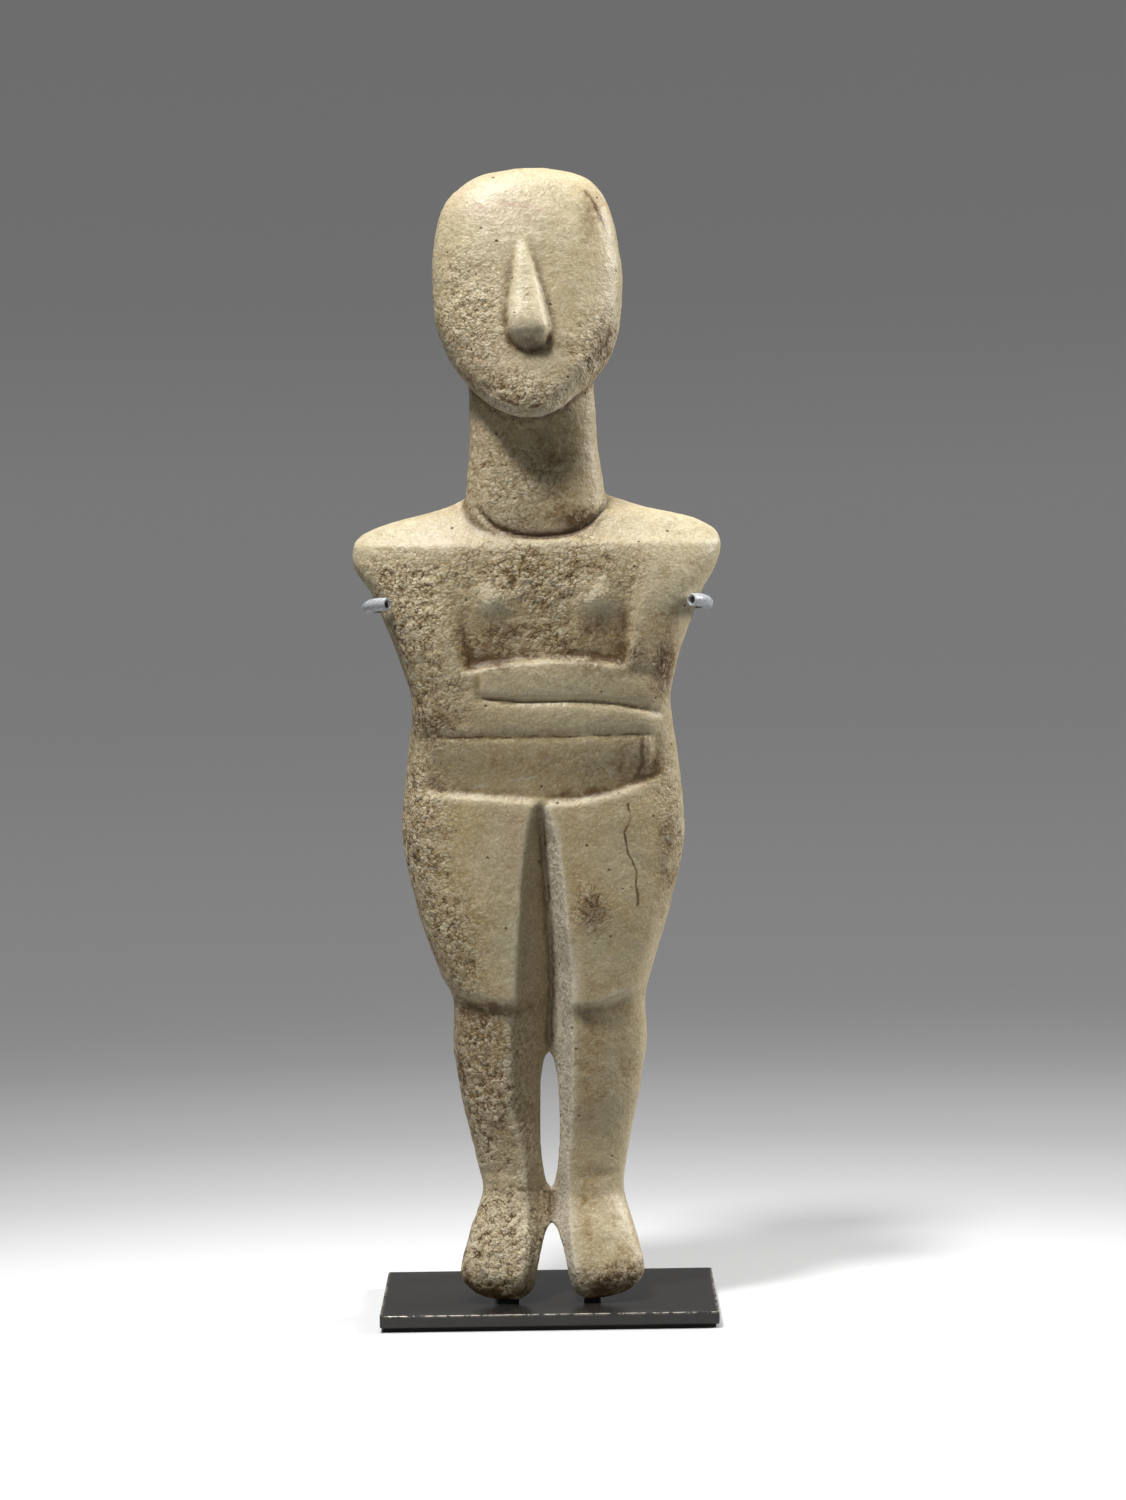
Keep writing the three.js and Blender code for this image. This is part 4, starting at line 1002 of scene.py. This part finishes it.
def drawn_lines(paint, place, lines):
    """Mask of thin wandering lines on the front, each through its places, fainter where it breaks."""
    wander = paint.add("ShaderNodeTexNoise", {"Vector": place, "Scale": 260.0, "Detail": 3.0})
    offset = paint.vector("SUBTRACT", wander.outputs["Color"], (0.5, 0.5, 0.5))
    moved = paint.vector("ADD", place, paint.vector("SCALE", offset, Scale=0.0022))
    whole = 0.0
    for half_width, strength, places in lines:
        ends = [Vector((x, 0, toe_level + height)) * MM for x, height in places]
        nearest = None
        for start, end in zip(ends, ends[1:]):
            gap = paint.group(near_segment, Place=moved, From=start, Along=end - start)["Distance"]
            nearest = gap if nearest is None else paint.sums("MINIMUM", nearest, gap)
        line = paint.mask(nearest, half_width * MM * 1.6, half_width * MM * 0.4)
        whole = paint.sums("MAXIMUM", whole, paint.times(line, strength))
    broken = paint.mask(wander.outputs["Fac"], 0.3, 0.5)
    front = paint.mask(paint.add("ShaderNodeSeparateXYZ", {0: place}).outputs[1], 0.0, -0.004)
    return paint.times(paint.times(whole, broken), front)


mottle = mottle_group()
grain = grain_group()
crystals = crystal_group()
near_segment = segment_group()

CREAM = (0.60, 0.50, 0.31)
HONEY = (0.48, 0.375, 0.19)
GOLD = (0.52, 0.38, 0.15)
PALE = (0.70, 0.61, 0.41)
OLIVE = (0.46, 0.39, 0.225)
ROSE = (0.52, 0.36, 0.24)
OCHRE = (0.36, 0.225, 0.075)
BROWN = (0.12, 0.066, 0.020)
CRYSTAL = (0.82, 0.73, 0.53)
# ROSE_WHITE is also the colour of painted light: the lit cleft wall and the painted highlight lines.
ROSE_WHITE = (0.78, 0.70, 0.57)
SHADED_WALL_GREY = (0.34, 0.27, 0.17)


def marble():
    """Old marble: cream and honey clouds, pale smooth places partly painted sheen, ochre patina in the rough
    ones, brown grime between the grains, brown in recesses and under ledges that is partly painted shade, a
    painted lit and a painted shaded wall in the leg cleft, painted highlights on ridges and pale lines,
    bright crystals and a few dark pits."""
    material, paint, shader, place = new_material("marble")
    finish = {name: paint.attribute(name) for name in FINISH}
    pitted = finish["pitted"]
    clouds = paint.group(mottle, Place=place, Scale=45.0, Contrast=0.16)["Mask"]
    spots = paint.group(mottle, Place=place, Scale=210.0, Contrast=0.15)["Mask"]
    crumbs = paint.noise(place, 380.0, 4, 0.6, 0.2)
    sugar = paint.group(crystals, Place=place, Scale=1050.0)
    dust = paint.group(crystals, Place=place, Scale=2100.0)
    broken = paint.plus(0.35, paint.times(spots, 0.65))
    colour = paint.mix(clouds, CREAM, HONEY)
    colour = paint.mix(paint.times(finish["golden"], broken), colour, GOLD)
    pale = paint.mix(spots, PALE, OLIVE)
    # Paler where smooth: real polish, with painted sheen on the shoulder tops and waxy patches.
    smooth = paint.mask(paint.plus(finish["polish_and_sheen"], paint.times(spots, 0.3)), 0.2, 1.0)
    colour = paint.mix(paint.times(smooth, 0.85), colour, pale)
    colour = paint.mix(paint.times(finish["rosy"], broken), colour, ROSE)
    patina = paint.plus(finish["stained"], paint.times(paint.sums("SUBTRACT", spots, 0.5), 0.6))
    patina = paint.times(paint.mask(patina, 0.1, 1.0), paint.mask(crumbs, 0.66, 0.40))
    colour = paint.mix(patina, colour, OCHRE)
    # Painted light in the leg cleft: the wall facing left paler, the wall facing right darker.
    walls = paint.times(paint.attribute("lit_cleft_wall"), paint.mask(dust["Tone"], -0.4, 0.5))
    colour = paint.mix(walls, colour, ROSE_WHITE)
    colour = paint.mix(paint.times(paint.attribute("shaded_cleft_wall"), 0.5), colour, SHADED_WALL_GREY)
    bright = paint.times(paint.mask(sugar["Tone"], 0.45, 0.9), paint.plus(0.1, paint.times(pitted, 0.65)))
    colour = paint.mix(bright, colour, CRYSTAL)
    colour = paint.mix(paint.times(paint.mask(dust["Tone"], 0.55, 0.95), 0.35), colour, CRYSTAL)
    # Painted highlight of pale crystal along convex ridges.
    colour = paint.mix(paint.times(paint.attribute("ridge"), 0.5), colour, CRYSTAL)
    colour = paint.mix(drawn_lines(paint, place, ROSE_LINES), colour, ROSE)
    colour = paint.mix(drawn_lines(paint, place, PALE_AND_HIGHLIGHT_LINES), colour, ROSE_WHITE)
    gaps = paint.times(sugar["Gaps"], paint.times(pitted, paint.mask(sugar["Tone"], 0.75, 0.25)))
    # Everything turned brown below: real grime, pits and gaps between the grains, with painted shade from the
    # recesses, the shade patches and the shade lines.
    brown_dirt_and_shade = paint.plus(paint.times(paint.attribute("hollow_dirt_and_shade"), 0.75), gaps)
    brown_dirt_and_shade = paint.plus(brown_dirt_and_shade, paint.times(paint.mask(dust["Tone"], 0.25, 0.02), paint.plus(0.1, paint.times(pitted, 0.4))))
    brown_dirt_and_shade = paint.plus(brown_dirt_and_shade, paint.times(paint.mask(crumbs, 0.42, 0.30), pitted))
    # Brown patches: partly grime, partly painted shade under ledges and in the chin's shadow.
    brown_dirt_and_shade = paint.plus(brown_dirt_and_shade, paint.times(finish["dirt_and_shade"], paint.mask(crumbs, 0.75, 0.45)))
    brown_dirt_and_shade = paint.plus(brown_dirt_and_shade, drawn_lines(paint, place, BROWN_AND_SHADE_LINES))
    pits = paint.add("ShaderNodeTexVoronoi", {"Vector": place, "Scale": 230.0}).outputs
    chosen = paint.mask(paint.add("ShaderNodeSeparateColor", {0: pits["Color"]}).outputs[0], 0.55, 0.6)
    pinholes = paint.times(paint.mask(pits["Distance"], 0.11, 0.06), chosen)
    brown_dirt_and_shade = paint.plus(brown_dirt_and_shade, paint.times(pinholes, 0.8))
    colour = paint.mix(paint.sums("MULTIPLY", brown_dirt_and_shade, 1.0, True), colour, BROWN)
    paint.set(shader.inputs["Base Color"], colour)
    dull = paint.plus(0.36, paint.times(pitted, 0.34))
    paint.set(shader.inputs["Roughness"], paint.plus(dull, paint.times(sugar["Tone"], 0.12)))
    shader.inputs["Subsurface Weight"].default_value = 0.1
    shader.inputs["Subsurface Radius"].default_value = (1.0, 0.7, 0.4)
    shader.inputs["Subsurface Scale"].default_value = 0.0012
    height = paint.times(crumbs, paint.plus(0.25, paint.times(pitted, 1.0)))
    height = paint.plus(height, paint.times(sugar["Height"], paint.plus(0.05, paint.times(pitted, 0.26))))
    height = paint.plus(height, paint.times(dust["Height"], paint.plus(0.03, paint.times(pitted, 0.05))))
    height = paint.sums("SUBTRACT", height, paint.times(pinholes, 0.3))
    bump = paint.add("ShaderNodeBump", {"Height": height, "Distance": 0.001, "Strength": 1.0})
    paint.set(shader.inputs["Normal"], bump.outputs["Normal"])
    return material


def dark_bronze():
    """Brown-black patinated metal, mottled and finely grained, with bright worn arrises."""
    material, paint, shader, place = new_material("dark_bronze")
    clouds = paint.group(mottle, Place=place, Scale=70.0, Contrast=0.2)["Mask"]
    flecks = paint.group(mottle, Place=place, Scale=420.0, Contrast=0.12)["Mask"]
    colour = paint.mix(clouds, (0.022, 0.020, 0.019), (0.036, 0.032, 0.030))
    colour = paint.mix(paint.times(flecks, 0.3), colour, (0.050, 0.042, 0.037))
    worn = paint.attribute("arris")
    broken = paint.times(worn, paint.mask(flecks, 0.1, 0.8))
    colour = paint.mix(broken, colour, (0.62, 0.56, 0.46))
    paint.set(shader.inputs["Base Color"], colour)
    shader.inputs["Metallic"].default_value = 0.3
    rough = paint.plus(0.11, paint.times(clouds, 0.07))
    paint.set(shader.inputs["Roughness"], paint.plus(rough, paint.times(flecks, 0.08)))
    fine = paint.group(grain, Place=place, Scale=1400.0)["Height"]
    bump = paint.add("ShaderNodeBump", {"Height": fine, "Distance": 0.00006, "Strength": 0.5})
    paint.set(shader.inputs["Normal"], bump.outputs["Normal"])
    return material


def blackened_steel():
    """Black painted steel with dull clouds."""
    material, paint, shader, place = new_material("blackened_steel")
    clouds = paint.group(mottle, Place=place, Scale=300.0, Contrast=0.18)["Mask"]
    colour = paint.mix(clouds, (0.012, 0.012, 0.013), (0.035, 0.034, 0.033))
    paint.set(shader.inputs["Base Color"], colour)
    shader.inputs["Metallic"].default_value = 0.4
    paint.set(shader.inputs["Roughness"], paint.plus(0.38, paint.times(clouds, 0.2)))
    fine = paint.group(grain, Place=place, Scale=1800.0)["Height"]
    bump = paint.add("ShaderNodeBump", {"Height": fine, "Distance": 0.00008, "Strength": 0.5})
    paint.set(shader.inputs["Normal"], bump.outputs["Normal"])
    return material


def black_felt():
    """Pressed black felt: matted fibres, dusty on top of its nap."""
    material, paint, shader, place = new_material("black_felt")
    fibres = paint.noise(place, 2600.0, 4, 0.7, 1.5)
    clumps = paint.group(mottle, Place=place, Scale=260.0, Contrast=0.2)["Mask"]
    colour = paint.mix(fibres, (0.006, 0.006, 0.006), (0.035, 0.034, 0.032))
    colour = paint.mix(paint.times(clumps, 0.4), colour, (0.022, 0.021, 0.02))
    paint.set(shader.inputs["Base Color"], colour)
    paint.set(shader.inputs["Roughness"], paint.plus(0.85, paint.times(clumps, 0.1)))
    bump = paint.add("ShaderNodeBump", {"Height": fibres, "Distance": 0.0002, "Strength": 0.8})
    paint.set(shader.inputs["Normal"], bump.outputs["Normal"])
    return material


def clear_tubing():
    """Soft clear tubing, slightly cloudy, scuffed along its length."""
    material, paint, shader, place = new_material("clear_tubing")
    scuffs = paint.group(mottle, Place=place, Scale=500.0, Contrast=0.2)["Mask"]
    colour = paint.mix(scuffs, (0.86, 0.88, 0.9), (0.7, 0.72, 0.74))
    paint.set(shader.inputs["Base Color"], colour)
    shader.inputs["Transmission Weight"].default_value = 0.45
    shader.inputs["IOR"].default_value = 1.42
    paint.set(shader.inputs["Roughness"], paint.plus(0.12, paint.times(scuffs, 0.25)))
    fine = paint.group(grain, Place=place, Scale=1500.0)["Height"]
    bump = paint.add("ShaderNodeBump", {"Height": fine, "Distance": 0.00008, "Strength": 0.4})
    paint.set(shader.inputs["Normal"], bump.outputs["Normal"])
    return material


# ---------------------------------------------------------------- the pieces
def finished(piece, material, slot, *nodes):
    piece.data.materials.clear()
    piece.data.materials.append(material)
    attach(piece, "root")
    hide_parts(*nodes)


def array(vector):
    return np.array(vector[:])


finished(carve_stone(), marble(), "marble", "figurine")

plate_low, plate_high = (array(corner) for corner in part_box("base_plate"))
plate_height = (plate_high[2] - plate_low[2]) / MM
plate = slab("plate_bronze", plate_low, plate_high, 0.6, round_profile(plate_height, 0.55, 0.2))
plate_points = vertex_array(plate) / MM
edge_gap = np.minimum(plate_high[0] / MM - np.abs(plate_points[:, 0]),
                      plate_high[1] / MM - np.abs(plate_points[:, 1]))
over = plate_points[:, 2] - plate_low[2] / MM
store(plate, "arris", np.exp(-(edge_gap / 0.35) ** 2) * ease(plate_height - 0.3, plate_height - 0.05, over))
shade_smooth(plate, 35)
finished(plate, dark_bronze(), "dark_bronze", "base_plate")

felt = black_felt()
for node, name, corner, lower, upper in (
        ("base_pad", "pad_felt", 0.6, 0.15, 0.1),
        ("toe_rest_left", "toe_rest_left_felt", 1.36, 0.1, 0.25),
        ("toe_rest_right", "toe_rest_right_felt", 1.36, 0.1, 0.25)):
    low, high = (array(corner_point) for corner_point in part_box(node))
    pad = slab(name, low, high, corner, round_profile((high[2] - low[2]) / MM, lower, upper))
    shade_smooth(pad, 40)
    finished(pad, felt, "black_felt", node)

finished(make_bracket(), blackened_steel(), "blackened_metal", "support_bracket")
tubing = clear_tubing()
finished(make_sleeve("sleeve_left_tube", 0), tubing, "clear_tubing", "sleeve_left")
finished(make_sleeve("sleeve_right_tube", rod_length - SLEEVE_LENGTH), tubing, "clear_tubing", "sleeve_right")


# ---------------------------------------------------------------- studio
def make_stage():
    """A round floor that curves up into a backdrop on all sides."""
    turn = np.linspace(0, math.pi / 2, 24)
    profile = [(r, 0) for r in (0.02, 0.2, 0.5, 1, 1.6, 2.2)]
    profile += [(2.2 + 0.9 * math.sin(t), 0.9 * (1 - math.cos(t))) for t in turn[1:]]
    profile += [(3.1, z) for z in (1.2, 2, 3.2)]
    radius, height = np.array(profile).T / MM
    angle = np.linspace(0, 2 * math.pi, 128, endpoint=False)
    rings = np.stack([radius[:, None] * np.cos(angle), radius[:, None] * np.sin(angle),
                      height[:, None] + 0 * angle], axis=-1)
    faces = ring_faces(len(radius), 128, closed_ends=False) + [list(range(128))]
    floor = new_piece("studio_floor", rings, faces)
    floor.data.flip_normals()
    shade_smooth(floor)
    floor.data.materials.append(backdrop_paint())


BOUNCE_HELD_BACK = 0.75


def backdrop_paint():
    """Pale by the stand and grey further off, by the distance from a place before the stand: a painted
    pool of light on the floor, and further off the backdrop glows with painted light. It throws little
    light back on the piece."""
    material, paint, shader, place = new_material("backdrop")
    far = paint.vector("LENGTH", paint.vector("ADD", place, (0, 0.35, 0)), output="Value")
    # Painted fall-off of light: pale near the stand, grey further away.
    ramp = paint.add("ShaderNodeValToRGB", {"Fac": paint.times(far, 0.25)})
    stops = ((0.0, 0.80), (0.37, 0.80), (0.45, 0.62), (0.52, 0.46), (0.62, 0.33), (0.78, 0.26),
             (1.0, 0.235), (2.0, 0.205), (3.1, 0.19), (3.3, 0.16), (3.8, 0.14))
    while len(ramp.color_ramp.elements) < len(stops):
        ramp.color_ramp.elements.new(1.0)
    for element, (distance, grey) in zip(ramp.color_ramp.elements, stops):
        element.position = distance * 0.25
        element.color = (grey, grey, grey, 1)
    to_the_piece = paint.add("ShaderNodeLightPath").outputs["Is Diffuse Ray"]
    held_back = paint.sums("SUBTRACT", 1.0, paint.times(to_the_piece, BOUNCE_HELD_BACK))
    paint.set(shader.inputs["Base Color"], paint.mix(held_back, (0, 0, 0), ramp.outputs["Color"]))
    shader.inputs["Roughness"].default_value = 0.9
    shader.inputs["Specular IOR Level"].default_value = 0.1
    # The far backdrop glows: painted light, not a lamp.
    glow = paint.add("ShaderNodeEmission", {"Color": ramp.outputs["Color"], "Strength": held_back})
    both = paint.add("ShaderNodeMixShader", {0: paint.mask(far, 0.6, 1.0), 2: glow.outputs[0]})
    paint.set(both.inputs[1], shader.outputs[0])
    output = next(n for n in material.node_tree.nodes if n.type == "OUTPUT_MATERIAL")
    paint.set(output.inputs["Surface"], both.outputs[0])
    return material


def area_light(name, place, aim, size, power):
    data = bpy.data.lights.new(name, "AREA")
    data.shape = "DISK"
    data.size = size
    data.energy = power
    light = bpy.data.objects.new(name, data)
    scene.collection.objects.link(light)
    light.location = place
    light.rotation_euler = (Vector(aim) - Vector(place)).to_track_quat("-Z", "Y").to_euler()


make_stage()
area_light("key", (-0.308, -0.41, 1.29), (0, 0, 0.15), 0.17, 14)
area_light("top", (-0.1, 0.05, 1.45), (0, 0, 0.15), 0.9, 12)
area_light("rim", (0.95, 0.18, 0.62), (0, 0, 0.15), 0.4, 9)
world = bpy.data.worlds.new("studio")
world.use_nodes = True
world.node_tree.nodes["Background"].inputs["Color"].default_value = (0.02, 0.02, 0.02, 1)
scene.world = world
scene.view_settings.view_transform = "Standard"
